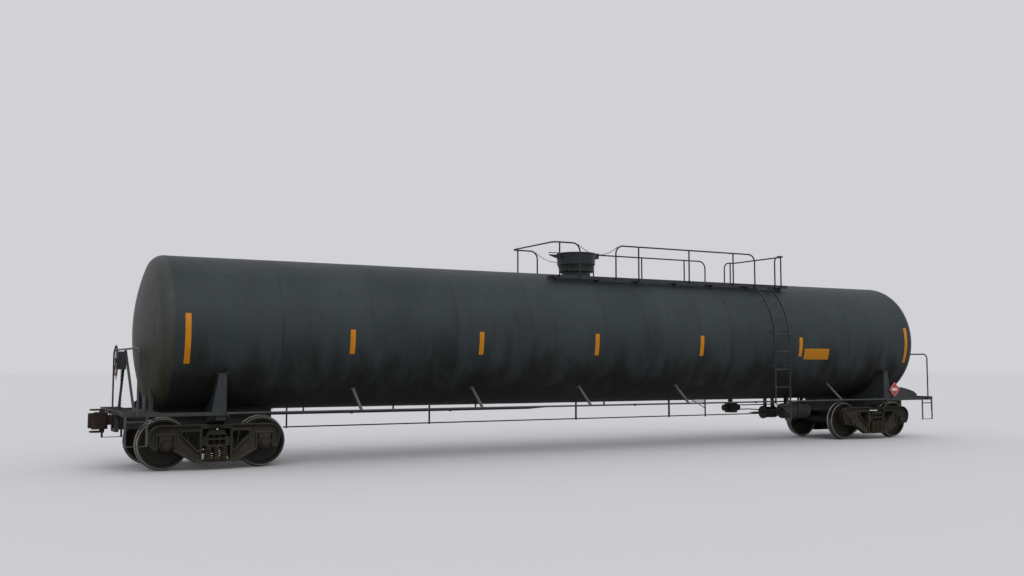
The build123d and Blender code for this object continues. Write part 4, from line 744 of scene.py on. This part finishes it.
headX, headRadius = headProfile()
near = np.array(jacket["nearSeam"])
near = np.concatenate([-near[::-1], [0], near])
stations = np.concatenate([np.arange(*jacket["rows"])] + [seam + near for seam in seams[1:-1]])
stations = np.unique(np.round(stations, 4))
stations = stations[np.concatenate([[True], np.diff(stations) > jacket["leastStep"]])]
shellX = np.concatenate([-headX, stations, headX[::-1]])
shellRadius = np.concatenate([headRadius, np.full(len(stations), car["tankRadius"]), headRadius[::-1]])
runX, runRadius = np.gradient(shellX), np.gradient(shellRadius)
run = np.hypot(runX, runRadius)
around = np.linspace(-np.pi, np.pi, jacket["around"], endpoint=False)
gridX, gridAngle = np.meshgrid(shellX, around, indexing="ij")
sink = jacketSink(gridX, gridAngle) * np.clip(shellRadius / jacket["poleRadius"], 0, 1)[:, None]
gridRadius = shellRadius[:, None] - sink * (runX / run)[:, None]
shell = np.stack([gridX + sink * (runRadius / run)[:, None], -gridRadius * np.cos(gridAngle),
                  car["tankZ"] + gridRadius * np.sin(gridAngle)], -1)
tones = np.random.default_rng(jacket["toneSeed"]).uniform(-1, 1, len(seams) + 1)
makePiece("tank_jacket", [gridPatch(shell, False, True)], "jacket", "car_body",
          ("tank_shell",), 50, fields={"seamDirt": seamDirtAt(gridX, gridAngle).reshape(-1),
                                       "sheetTone": tones[np.searchsorted(seams, gridX)].reshape(-1)})
print("stage: jacket")

# a bar is its place along the car and its two heights; the label's places and heights come in pairs
stripes = {
    "width": 0.102, "thick": 0.0010, "points": (7, 22), "label": (5.64, 6.46, 2.045, 2.310),
    "bars": ((-9.075, 1.925, 2.825), (-6.0, 2.115, 2.580), (-3.235, 2.115, 2.580), (-0.42, 2.115, 2.580),
             (2.46, 2.115, 2.580), (5.51, 2.115, 2.580), (9.185, 1.970, 2.875)),
}


def stuckOn(x0, x1, z0, z1, side):
    # a thin sheet that follows the jacket between two heights on the side -1 (near) or 1
    along, up = stripes["points"]
    x, z = np.meshgrid(np.linspace(x0, x1, along), np.linspace(z0, z1, up), indexing="ij")
    angle = np.arcsin((z - car["tankZ"]) / car["tankRadius"])
    sheets = []
    for proud in (stripes["thick"], -stripes["thick"]):
        radius = car["tankRadius"] - jacketSink(x, angle if side < 0 else np.pi - angle) + proud
        sheets.append(np.stack([x, side * radius * np.cos(angle), car["tankZ"] + radius * np.sin(angle)], -1))
    return slabPatch(*sheets)


half = stripes["width"] / 2
strips = [stuckOn(-side * x - half, -side * x + half, z0, z1, side)
          for side in (-1, 1) for x, z0, z1 in stripes["bars"]]
makePiece("reflective_stripes", strips, "stripe", "car_body")
x0, x1, z0, z1 = stripes["label"]
makePiece("blank_labels", [stuckOn(x0, x1, z0, z1, -1), stuckOn(-x1, -x0, z0, z1, 1)], "label", "car_body")
print("stage: stripes and labels")

# the gusset's last two points lie free, at gussetLow; its others sit on the jacket
walkway = {
    "x": (-1.204, 5.600), "y": (0.640, 0.9327), "top": 3.8854, "deep": 0.050, "front": 0.074, "wall": 0.010,
    "barPitch": 0.030, "bar": (0.004, 0.0246), "rods": 3, "rod": 0.007, "rodProud": 0.0003, "barSunk": 0.0004,
    "brackets": 7, "inset": 0.144, "plate": 0.012,
    "gussetY": (0.640, 0.670, 0.700, 0.730, 0.750, 0.840, 0.9225),
    "gussetLow": (3.806, 3.838), "gussetSeat": 0.001, "gussetTop": 0.026, "pad": 0.006,
    "padY": (0.60, 0.775), "padX": (-0.06, 0.06),
}
deck = {"x": (9.800, 10.140), "y": 1.450, "top": 1.0874, "deep": 0.025, "wall": 0.006}


def gratingPatch(low, high, top):
    # flat bars on edge across the short way, at even pitch, with square rods across them flush with the top
    thick, deep = walkway["bar"]
    rod = walkway["rod"]
    long = int(high[1] - low[1] > high[0] - low[0])
    middle = np.arange(low[long] + walkway["barPitch"] / 2, high[long], walkway["barPitch"])
    ones = np.ones_like(middle)
    start = np.stack([middle - thick / 2, ones * low[1 - long], ones * (top - deep)], -1)
    end = np.stack([middle + thick / 2, ones * high[1 - long], ones * top], -1)
    cross = np.linspace(low[1 - long], high[1 - long], walkway["rods"] + 2)[1:-1]
    ones = np.ones_like(cross)
    start = np.concatenate([start, np.stack([ones * low[long], cross - rod / 2, ones * (top - rod)], -1)])
    rodTop = top + walkway["rodProud"]
    end = np.concatenate([end, np.stack([ones * high[long], cross + rod / 2, ones * rodTop], -1)])
    order = [long, 1 - long, 2]
    return boxPatch(start[:, order], end[:, order])


def rimPatch(low, high, top, deep, front, wall):
    # four flat bars on edge round a rectangle, the one at its high side as deep as front
    (x0, y0), (x1, y1), z = low, high, top - deep
    starts = [(x0, y0, z), (x0, y1 - wall, top - front), (x0, y0 + wall, z), (x1 - wall, y0 + wall, z)]
    stops = [(x1, y0 + wall, top), (x1, y1, top), (x0 + wall, y1 - wall, top), (x1, y1 - wall, top)]
    return boxPatch(starts, stops)


def bracketPatch():
    # a gusset fills the room between the jacket's round and the bars, with a curved pad under it
    y = np.array(walkway["gussetY"])
    lower = car["tankZ"] + np.sqrt(car["tankRadius"] ** 2 - y ** 2) - walkway["gussetSeat"]
    lower[-2:] = walkway["gussetLow"]
    upper = 0 * y + walkway["top"] - walkway["gussetTop"]
    web = np.stack([np.stack([0 * y, y, z], -1) for z in (lower, upper)])
    half = [walkway["plate"] / 2, 0, 0]
    angle = np.arccos(np.linspace(*walkway["padY"], 9) / car["tankRadius"])
    angle, x = np.meshgrid(angle, np.linspace(*walkway["padX"], 3), indexing="ij")
    pads = [np.stack([x, radius * np.cos(angle), car["tankZ"] + radius * np.sin(angle)], -1)
            for radius in (car["tankRadius"] + walkway["pad"], car["tankRadius"] - walkway["pad"])]
    return joined([slabPatch(web - half, web + half), slabPatch(*pads)])


low, high = np.array(list(zip(walkway["x"], walkway["y"])))
top, wall = walkway["top"], walkway["wall"]
bars = gratingPatch(low + wall, high - wall, top - walkway["barSunk"])
rim = rimPatch(low, high, top, walkway["deep"], walkway["front"], wall)
bracketX = np.linspace(low[0] + walkway["inset"], high[0] - walkway["inset"], walkway["brackets"])
supports = copied(bracketPatch(), [(x, 0, 0) for x in bracketX])
makePiece("walkway_grating", [bothSides(bars)], "grating", "car_body")
makePiece("walkway_frames", [bothSides(joined([rim, supports]))], "plate", "car_body",
          ("top_platform",), bevel=0.0015)
low, high = np.array([deck["x"][0], -deck["y"]]), np.array([deck["x"][1], deck["y"]])
bars = gratingPatch(low + deck["wall"], high - deck["wall"], deck["top"] - walkway["barSunk"])
rim = rimPatch(low, high, deck["top"], deck["deep"], deck["deep"], deck["wall"])
for end, side in ends:
    makePiece(f"end_grating_{end}", [times(joined([bars, rim]), (side, 1, 1))], "grating", "car_body",
              (f"end_platform_{end}",))
print("stage: gratings")

chains = {"x": (-0.577, 0.457), "y": 0.950, "z": 4.568, "sag": 0.195, "wire": 0.0030, "link": (0.034, 0.022),
          "eye": 0.011, "eyeWire": 0.0045}
turn = np.linspace(-1, 1, 60)
span = (chains["x"][1] - chains["x"][0]) / 2
hang = np.stack([np.mean(chains["x"]) + span * turn, 0 * turn + chains["y"],
                 chains["z"] - chains["sag"] * (1 - turn ** 2)], -1)
circle = np.linspace(0, 2 * np.pi, 14, endpoint=False)
eye = np.stack([chains["eye"] * np.cos(circle), 0 * circle + chains["y"],
                chains["z"] + chains["eye"] * np.sin(circle)], -1)
eyes = [tubePatch(eye + [x, 0, 0], chains["eyeWire"], 6, True, (0, 1, 0)) for x in chains["x"]]
links = chainPatch(hang, chains["wire"], *chains["link"])
makePiece("railing_chains", [bothSides(joined(eyes + [links]))], "zinc", "car_body",
          ("safety_chains",), 60)

# a coil is its outside radius, its bar's radius, its turns and the hand that it is wound to
springs = {
    "x": (-0.142, 0.0, 0.142), "y": (0.940, 1.072), "z": (0.1754, 0.4154),
    "outer": (0.0650, 0.0135, 6.3, 1), "inner": (0.0355, 0.0085, 8.8, -1), "steps": 14, "flatTurns": 0.75,
    "soft": 0.15,
}


def coilPatch(outside, wire, turns, hand):
    # a round bar wound on a cylinder: its height grows evenly but for the flat first and last turns
    low, high = springs["z"]
    share = np.linspace(0, 1, int(turns * springs["steps"]))
    angle = hand * 2 * np.pi * turns * share
    flat = springs["flatTurns"] / turns
    rise = np.clip((share - flat / 2) / (1 - flat), 0, 1)
    rise = (1 - springs["soft"]) * rise + springs["soft"] * (1 - np.cos(np.pi * rise)) / 2
    radius = outside - wire
    height = low + wire + rise * (high - low - 2 * wire)
    return tubePatch(np.stack([radius * np.cos(angle), radius * np.sin(angle), height], -1), wire, 8)


coils = joined([coilPatch(*springs["outer"]), coilPatch(*springs["inner"])])
for end, side in ends:
    spots = [(side * car["truckX"] + x, hand * y, 0)
             for x in springs["x"] for y in springs["y"] for hand in (-1, 1)]
    makePiece(f"truck_{end}_coils", [copied(coils, spots)], "spring", f"truck_{end}",
              (f"truck_{end}_springs",), 60)
print("stage: chains and springs")

# each casting's cell and smoothing passes, and the share of its faces that thinning keeps; the bolster's
# pockets and lugs are spans, with X counted from the truck's middle
castings = {
    "frame": (0.0085, 4), "bolster": (0.009, 3), "coupler": (0.005, 4), "knuckle": (0.005, 3), "keep": 0.35,
    "rounding": 0.5, "merge": 1e-5, "sharpAngle": 50,
    "pocketX": ((-0.152, -0.060), (-0.044, 0.044), (0.060, 0.152)),
    "pocketY": ((-1.140, -1.000), (1.000, 1.140)), "pocketZ": ((0.450, 0.545), (0.574, 0.638)),
    "lugX": (-0.150, 0.150), "lugY": (0.930, 1.116), "lugZ": (0.6656, 0.722),
}
for end, side in ends:
    truck, middle = f"truck_{end}", [side * car["truckX"], 0, 0]
    for hand in ("near", "far"):
        castPiece(f"{truck}_side_frame_{hand}", "cast", truck, "cast_brown", *castings["frame"])
    # the bolster's hollow ends show as two rows of pockets between the springs and the frame, a lug over them
    pockets = np.array(list(product(castings["pocketX"], castings["pocketY"], castings["pocketZ"])))
    lugs = np.array([[(x, hand * y, z) for hand in (-1, 1)]
                     for x, y, z in zip(castings["lugX"], castings["lugY"], castings["lugZ"])])
    castPiece(f"{truck}_bolster", "cast", truck, "cast_brown", *castings["bolster"],
              (lugs.min(0) + middle, lugs.max(0) + middle), pockets.transpose(2, 0, 1) + middle)
    for part in ("coupler", "knuckle"):
        castPiece(f"{part}_{end}", "coupler", f"{part}_{end}_body", "coupler_rust", *castings[part])
print("stage: castings")

axleCap = {"y": 1.134, "radius": 0.066, "thick": 0.004, "sunk": 0.002, "boltRing": 0.048,
           "boltTurns": (90, 210, 330), "bolt": (0.015, 0.016)}
turn = np.radians(axleCap["boltTurns"])
ring = np.stack([axleCap["boltRing"] * np.cos(turn), 0 * turn + axleCap["thick"],
                 axleCap["boltRing"] * np.sin(turn)], -1)
plate = plateProfile(-axleCap["sunk"], axleCap["thick"], axleCap["radius"])
for end, side in ends:
    for place, centre in axles(side, axleCap["y"]):
        lock = turnedPatch(plate, centre, (0, 1, 0), 24)
        bolts = boltPatch(centre + ring, (0, 1, 0), *axleCap["bolt"])
        makePiece(f"axle_caps_{end}_{place}", [bothSides(joined([lock, bolts]))], "bearing",
                  f"wheels_{end}_{place}")

# each profile is (height, radius); nuts hang under the flange and stand on the cover
manway = {
    "x": -0.050, "sides": 72, "studs": 20, "below": (4.0604, 0.367), "above": (4.1554, 0.345),
    "nut": (0.019, 0.022),
    "neck": ((3.925, 0), (3.925, 0.330), (4.0604, 0.330), (4.0604, 0.394), (4.0624, 0.396), (4.0984, 0.396),
             (4.1004, 0.394), (4.1004, 0)),
    "cover": ((4.1004, 0), (4.1004, 0.398), (4.1024, 0.400), (4.124, 0.400), (4.126, 0.391), (4.131, 0.391),
              (4.133, 0.400), (4.1534, 0.400), (4.1554, 0.398), (4.1554, 0)),
}
# the drum's outside over its ribbed foot, then its inside and its floor, in heights over the cover; a lug and
# its knuckle are spans of x and z; the hasp tapers from its near depth to its tip
drum = {
    "base": 4.1554,
    "profile": ((0, 0.380), (0, 0.412), (0.014, 0.412), (0.017, 0.399), (0.027, 0.399), (0.030, 0.420),
                (0.046, 0.420), (0.049, 0.406), (0.058, 0.406), (0.062, 0.440), (0.318, 0.440),
                (0.320, 0.438), (0.320, 0.432), (0.318, 0.430), (0.070, 0.430), (0.058, 0.395),
                (0.012, 0.395), (0.012, 0.380), (0, 0.380)),
    "lugY": (0.040, 0.062), "lugs": (((0.380, 0.547), (4.3854, 4.4754)), ((0.503, 0.547), (4.4634, 4.5174))),
    "pin": (0.525, 0.051, 4.4954, 0.010), "hasp": (-0.485, -0.780, 4.4394, 0.110, 0.020, 0.012),
}
turn = np.linspace(0, 2 * np.pi, manway["studs"], endpoint=False)
circle = np.stack([np.cos(turn), np.sin(turn), 0 * turn], -1)
nuts = [boltPatch([manway["x"], 0, z] + radius * circle, (0, 0, way), *manway["nut"])
        for (z, radius), way in ((manway["below"], -1), (manway["above"], 1))]
makePiece("manway_nuts", nuts, "bolt", "car_body")
for name, part in (("manway_flange", "neck"), ("manway_plate", "cover")):
    makePiece(name, [turnedPatch(manway[part], (manway["x"], 0, 0), (0, 0, 1), manway["sides"])], "housing",
              "car_body", (f"manway_{part}",))
lugStart, lugEnd = ([(x[i], drum["lugY"][i], z[i]) for x, z in drum["lugs"]] for i in (0, 1))
x, reach, z, radius = drum["pin"]
pin = turnedPatch(plateProfile(-reach, reach, radius), (x, 0, z), (0, 1, 0), 20)
near, far, top, deep, tip, half = drum["hasp"]
blade = np.array([[(near, 0, top - deep), (near, 0, top)], [(far, 0, top - tip), (far, 0, top)]])
hasp = slabPatch(blade - [0, half, 0], blade + [0, half, 0])
wall = turnedPatch(drum["profile"], (manway["x"], 0, drum["base"]), (0, 0, 1), manway["sides"])
makePiece("valve_housing", [wall, bothSides(boxPatch(lugStart, lugEnd)), pin, hasp], "housing", "car_body",
          ("protective_housing",), bevel=0.0015)
print("stage: axle caps and manway")

placards = {"side": 0.273, "thick": 0.0016, "sunk": 0.0003, "board": (8.720, 1.4526, 1.2854),
            "end": (9.9309, 0.980, 1.7854)}


def placardFace(centre, across, out):
    # a square sheet standing on its corner, and where its points lie across and up: across is its level
    # direction and out the way it looks
    across, out = np.array(across), np.array(out)
    u, v = np.meshgrid([-0.5, 0.5], [-0.5, 0.5], indexing="ij")
    level, up = (u + v) * placards["side"] / math.sqrt(2), (u - v) * placards["side"] / math.sqrt(2)
    sheet = np.array(centre) + level[..., None] * across + up[..., None] * np.array([0, 0, 1])
    patch = slabPatch(sheet + placards["thick"] * out, sheet - placards["sunk"] * out)
    corners = ([0, 0, 1, 1], [0, 1, 1, 0])  # once more, in the order that slabPatch goes round them
    level, up = (np.concatenate([field.ravel()] * 2 + [field[corners]] * 2) for field in (level, up))
    return patch, level, up


x, y, z = placards["board"]
endX, endY, endZ = placards["end"]
faces = [placardFace((side * x, -side * y, z), (side, 0, 0), (0, -side, 0)) for side in (1, -1)]
faces += [placardFace((side * endX, endY, endZ), (0, side, 0), (side, 0, 0)) for side in (1, -1)]
patches, across, up = zip(*faces)
makePiece("placards", patches, "placard", "car_body",
          fields={"acrossField": np.concatenate(across), "upField": np.concatenate(up)})
print("stage: placards")

# a brace runs from just inside the jacket, at its angle under the tank's middle, to just short of the rail's
# centre, which is at railY and railZ
braces = {
    "x": (-5.830, -3.240, -0.630, 2.010, 6.790), "angle": 47, "railY": 1.500, "railZ": 1.0404, "width": 0.050,
    "thick": 0.034, "inJacket": 0.004, "short": 0.006, "boltX": 0.040, "boltOut": 0.010,
    "bolt": (0.009, 0.009),
}
slope = math.radians(braces["angle"])
out = np.array([0, math.cos(slope), -math.sin(slope)])
foot = np.array([0, 0, car["tankZ"]]) + car["tankRadius"] * out
rail = np.array([0, braces["railY"], braces["railZ"]])
run = (rail - foot) / np.linalg.norm(rail - foot)
stops = np.array([foot - braces["inJacket"] * run, rail - braces["short"] * run])[:, None]
corner = np.array([(-1, -1), (1, -1), (1, 1), (-1, 1)]) * [braces["width"] / 2, braces["thick"] / 2]
bar = stops + corner @ np.array([(1, 0, 0), np.cross((1, 0, 0), run)])
bar = np.concatenate([np.repeat(stops[:1], 4, 1), bar, np.repeat(stops[1:], 4, 1)])
spots = [foot + braces["boltOut"] * out + [side * braces["boltX"], 0, 0] for side in (-1, 1)]
brace = joined([gridPatch(bar, False, True), boltPatch(spots, out, *braces["bolt"])])
places = [(x, 0, 0) for x in braces["x"]]
makePiece("handrail_braces", [bothSides(copied(brace, places))], "brace", "car_body",
          bevel=0.003)

# small bolt heads hold the railing's posts, the end railings and the corner steps: places along the car, the
# distance from its middle, heights; large ones hold the placard boards and are the rungs' riveted ends
fixings = {
    "heads": (((-1.070, -0.540, 0.420, 1.050, 2.500, 3.840, 4.520, 5.170, 5.370), 0.983, (3.849, 3.872)),
              ((-9.910, 9.910), 1.516, (1.020, 1.046)),
              ((-9.740, -10.100, 9.740, 10.100), 1.461, (1.012, 1.036))),
    "boards": ((8.680, 9.000, 9.320, 9.500), 1.449, 1.095), "small": (0.0085, 0.007), "large": (0.011, 0.009),
    "rungs": 8, "firstRung": 0.9554, "rungPitch": 0.425, "rungRadius": 1.597, "ladderX": (4.5205, 4.9995),
}
spots = [(x, -y, z) for places, y, heights in fixings["heads"] for x in places for z in heights]
heads = bothSides(boltPatch(spots, (0, -1, 0), *fixings["small"]))
places, y, z = fixings["boards"]
boards = bothEnds(boltPatch([(x, -y, z) for x in places], (0, -1, 0), *fixings["large"]))
# the rungs go straight up the rail, then round the tank
along = fixings["rungPitch"] * np.arange(fixings["rungs"])
straight = car["tankZ"] - fixings["firstRung"]
turn = np.clip(along - straight, 0, None) / fixings["rungRadius"]
rungY = -fixings["rungRadius"] * np.cos(turn)
rungZ = np.where(along < straight, fixings["firstRung"] + along,
                 car["tankZ"] + fixings["rungRadius"] * np.sin(turn))
leftX, rightX = fixings["ladderX"]
rungs = [boltPatch(np.stack([0 * rungY + x, rungY, rungZ], -1)[first:], (way, 0, 0), *fixings["large"])
         for x, first, way in ((rightX, 0, 1), (leftX, 1, -1))]
makePiece("frame_bolts", [heads, boards, bothSides(joined(rungs))], "bolt", "car_body")

handBrake = {
    "faceX": -10.0773, "y": -0.250, "z": 1.9854, "cover": (0.090, 0.140), "proud": 0.007, "sunk": 0.002,
    "bolts": (0.078, 0.122), "chainX": -10.012, "chainZ": (1.822, 1.092), "wire": 0.005,
    "link": (0.050, 0.030), "footX": -9.9473, "footY": (0.400, -1.380), "footZ": (1.0864, 1.0954),
    "footHalf": (0.034, 0.045),
}
faceX, y, z = handBrake["faceX"], handBrake["y"], handBrake["z"]
halfY, halfZ = handBrake["cover"]
cover = boxPatch([faceX - handBrake["proud"], y - halfY, z - halfZ],
                 [faceX + handBrake["sunk"], y + halfY, z + halfZ])
boltY, boltZ = handBrake["bolts"]
heads = boltPatch([(faceX - handBrake["proud"], y + a * boltY, z + b * boltZ)
                   for a in (-1, 1) for b in (-1, 1)], (-1, 0, 0), *fixings["small"])
footX = handBrake["footX"]
low, high = handBrake["footZ"]
halfX, halfY = handBrake["footHalf"]
feet = [boxPatch([footX - halfX, at - halfY, low], [footX + halfX, at + halfY, high])
        for at in handBrake["footY"]]
makePiece("hand_brake_cover", [cover] + feet, "plate", "car_body", bevel=0.003)
makePiece("hand_brake_bolts", [heads], "bolt", "car_body")
drop = np.linspace(*handBrake["chainZ"], 12)
hang = np.stack([0 * drop + handBrake["chainX"], 0 * drop + y, drop], -1)
makePiece("hand_brake_chain", [chainPatch(hang, handBrake["wire"], *handBrake["link"])], "zinc", "car_body",
          (), 60)

# bands: places along the vessel, its axis and its radius; rings of bolts: a point, the ring's radius, the
# count, the way they look and the bolt's size; a cap's, a rib's and a collar's numbers are plateProfile's
airBrake = {
    "band": (0.022, 0.006, 0.002),
    "bands": (((5.930, 6.470), (-0.430, 0.7554), 0.190), ((6.024, 6.276), (0.430, 0.6854), 0.140)),
    "dome": (6.358, 0.430, 0.6854),
    "domeProfile": ((-0.002, 0), (-0.002, 0.118), (0.016, 0.112), (0.034, 0.080), (0.040, 0)),
    "valve": (4.900, 0.455, 0.8254), "capX": 0.240, "cap": (-0.012, 0.006, 0.081, 0, 0.003),
    "ribX": 0.118, "rib": (-0.010, 0.010, 0.098, 0.070, 0.003),
    "rings": (((6.180, -0.430, 0.7554), 0.203, 16, -1, 0.010), ((6.220, -0.430, 0.7554), 0.203, 16, 1, 0.010),
              ((5.940, 0.430, 0.6854), 0.153, 8, -1, 0.010), ((4.654, 0.455, 0.8254), 0.060, 6, -1, 0.008),
              ((5.146, 0.455, 0.8254), 0.060, 6, 1, 0.008)),
    "firstBolt": 0.2, "pipe": 0.0135, "bend": 0.045,
    "routes": (((4.98, 0.36, 0.78), (5.40, 0.36, 0.78), (5.40, -0.43, 0.78), (5.77, -0.43, 0.78)),
               ((4.98, 0.53, 0.88), (6.44, 0.53, 0.88), (6.44, 0.53, 0.6854), (6.44, 0.43, 0.6854),
                (6.38, 0.43, 0.6854)),
               ((5.08, 0.30, 0.9554), (5.08, 0.44, 0.9554), (5.08, 0.44, 0.88))),
    "collar": (-0.024, 0.024, 0.022, 0, 0.003),
    "collars": ((5.03, 0.36, 0.78), (5.72, -0.43, 0.78), (5.06, 0.53, 0.88), (6.405, 0.43, 0.6854)),
}


def ringSpots(centre, radius, count):
    # points evenly round a circle square to X, the first a little above the level
    turn = np.linspace(0, 2 * np.pi, count, endpoint=False) + airBrake["firstBolt"]
    return np.asarray(centre) + np.stack([0 * turn, radius * np.cos(turn), radius * np.sin(turn)], -1)


def bandPatch(x, y, z, radius):
    # a flat band round a vessel that lies along X
    half, thick, sunk = airBrake["band"]
    profile = [(-half, radius - sunk), (-half, radius + thick), (half, radius + thick), (half, radius - sunk),
               (-half, radius - sunk)]
    return turnedPatch(profile, (x, y, z), (1, 0, 0), 40)


gear = [bandPatch(x, *axis, radius) for places, axis, radius in airBrake["bands"] for x in places]
gear += [turnedPatch(airBrake["domeProfile"], airBrake["dome"], (1, 0, 0), 40)]
x, y, z = airBrake["valve"]
gear += [turnedPatch(plateProfile(*airBrake[part]), (x + side * airBrake[part + "X"], y, z), (side, 0, 0), 32)
         for side in (-1, 1) for part in ("cap", "rib")]
# the pipes' circles start from a direction that no stretch of them runs in
gear += [tubePatch(bentPath(route, airBrake["bend"]), airBrake["pipe"], 10, False, (0.37, 0.41, 0.83))
         for route in airBrake["routes"]]
gear += [turnedPatch(plateProfile(*airBrake["collar"]), spot, (1, 0, 0), 8) for spot in airBrake["collars"]]
makePiece("brake_fittings", gear, "brake", "car_body")
heads = [boltPatch(ringSpots(centre, radius, count), (way, 0, 0), size, size)
         for centre, radius, count, way, size in airBrake["rings"]]
makePiece("brake_bolts", heads, "bolt", "car_body")
couplings = {"x": (-8.2, -5.6, -3.4, 1.8, 3.9, 5.6, 8.2), "y": 0.300, "z": 0.9554,
             "sleeve": (-0.030, 0.030, 0.0285, 0, 0.004)}
spots = [(x, math.copysign(couplings["y"], x), couplings["z"]) for x in couplings["x"]]
makePiece("pipe_couplings", [turnedPatch(plateProfile(*couplings["sleeve"]), spot, (1, 0, 0), 20)
          for spot in spots], "brake", "car_body")
print("stage: fixings, hand brake and air brake")

stageLook = {
    "floor": "#cbcacc", "bounce": "#5f5d58", "floorRoughness": 0.9, "floorSpecular": 0.1, "floorReach": 260.0,
    "backdrop": "#d2d1d5", "light": "#f3f5f9", "lightLevel": 0.88, "sunLevel": 0.95, "sunTurn": (38, -14, 10),
    "sunSpread": 60, "camera": (-12.862, -20.384, 1.8844), "cameraTurn": (94.294, 0.0, -28.609),
    "lens": 36.52, "sensor": 36.0, "clipEnd": 1000.0,
}


def seenDirectly(tree):
    # 1 for what the camera sees, also in a mirror or through glass, and 0 for light on its way to the car
    rays = addNode(tree, "LightPath")
    seen = addNode(tree, "Math", (rays.outputs["Is Camera Ray"], rays.outputs["Is Glossy Ray"]),
                   operation="MAXIMUM")
    return addNode(tree, "Math", (seen, rays.outputs["Is Transmission Ray"]), operation="MAXIMUM")


# a painted studio floor: pale to the eye, but it throws little light up under the car
material, tree = newMaterial("paleFloorPaint")
colour = stackedColours(tree, stageLook["bounce"], [(seenDirectly(tree), stageLook["floor"])])
addShader(tree, {"Base Color": colour, "Roughness": stageLook["floorRoughness"],
                 "Specular IOR Level": stageLook["floorSpecular"]})
reach = stageLook["floorReach"]
corner = np.array([(-reach, -reach, 0), (reach, -reach, 0), (reach, reach, 0), (-reach, reach, 0)])
mesh = plainMesh("floor", (corner, np.array([(0, 1, 2, 3)])))
mesh.materials.append(material)
floor = bpy.data.objects.new("floor", mesh)
bpy.context.scene.collection.objects.link(floor)

world = bpy.data.worlds.new("overcast")
bpy.context.scene.world = world
world.use_nodes = True
tree = world.node_tree
tree.nodes.clear()
backdrop = addNode(tree, "Background", {"Color": linear(stageLook["backdrop"]), "Strength": 1.0})
light = addNode(tree, "Background", {"Color": linear(stageLook["light"]),
                                     "Strength": stageLook["lightLevel"]})
both = addNode(tree, "MixShader", (seenDirectly(tree), light, backdrop))
addNode(tree, "OutputWorld", {"Surface": both})

sun = bpy.data.lights.new("softSun", "SUN")
sun.energy = stageLook["sunLevel"]
sun.angle = math.radians(stageLook["sunSpread"])
lamp = bpy.data.objects.new("softSun", sun)
lamp.rotation_euler = [math.radians(v) for v in stageLook["sunTurn"]]
bpy.context.scene.collection.objects.link(lamp)

lens = bpy.data.cameras.new("camera")
lens.lens = stageLook["lens"]
lens.sensor_width = stageLook["sensor"]
lens.clip_end = stageLook["clipEnd"]
camera = bpy.data.objects.new("camera", lens)
camera.location = stageLook["camera"]
camera.rotation_euler = [math.radians(v) for v in stageLook["cameraTurn"]]
bpy.context.scene.collection.objects.link(camera)
bpy.context.scene.camera = camera
bpy.context.scene.view_settings.view_transform = "Standard"
print("stage: floor, light and camera")
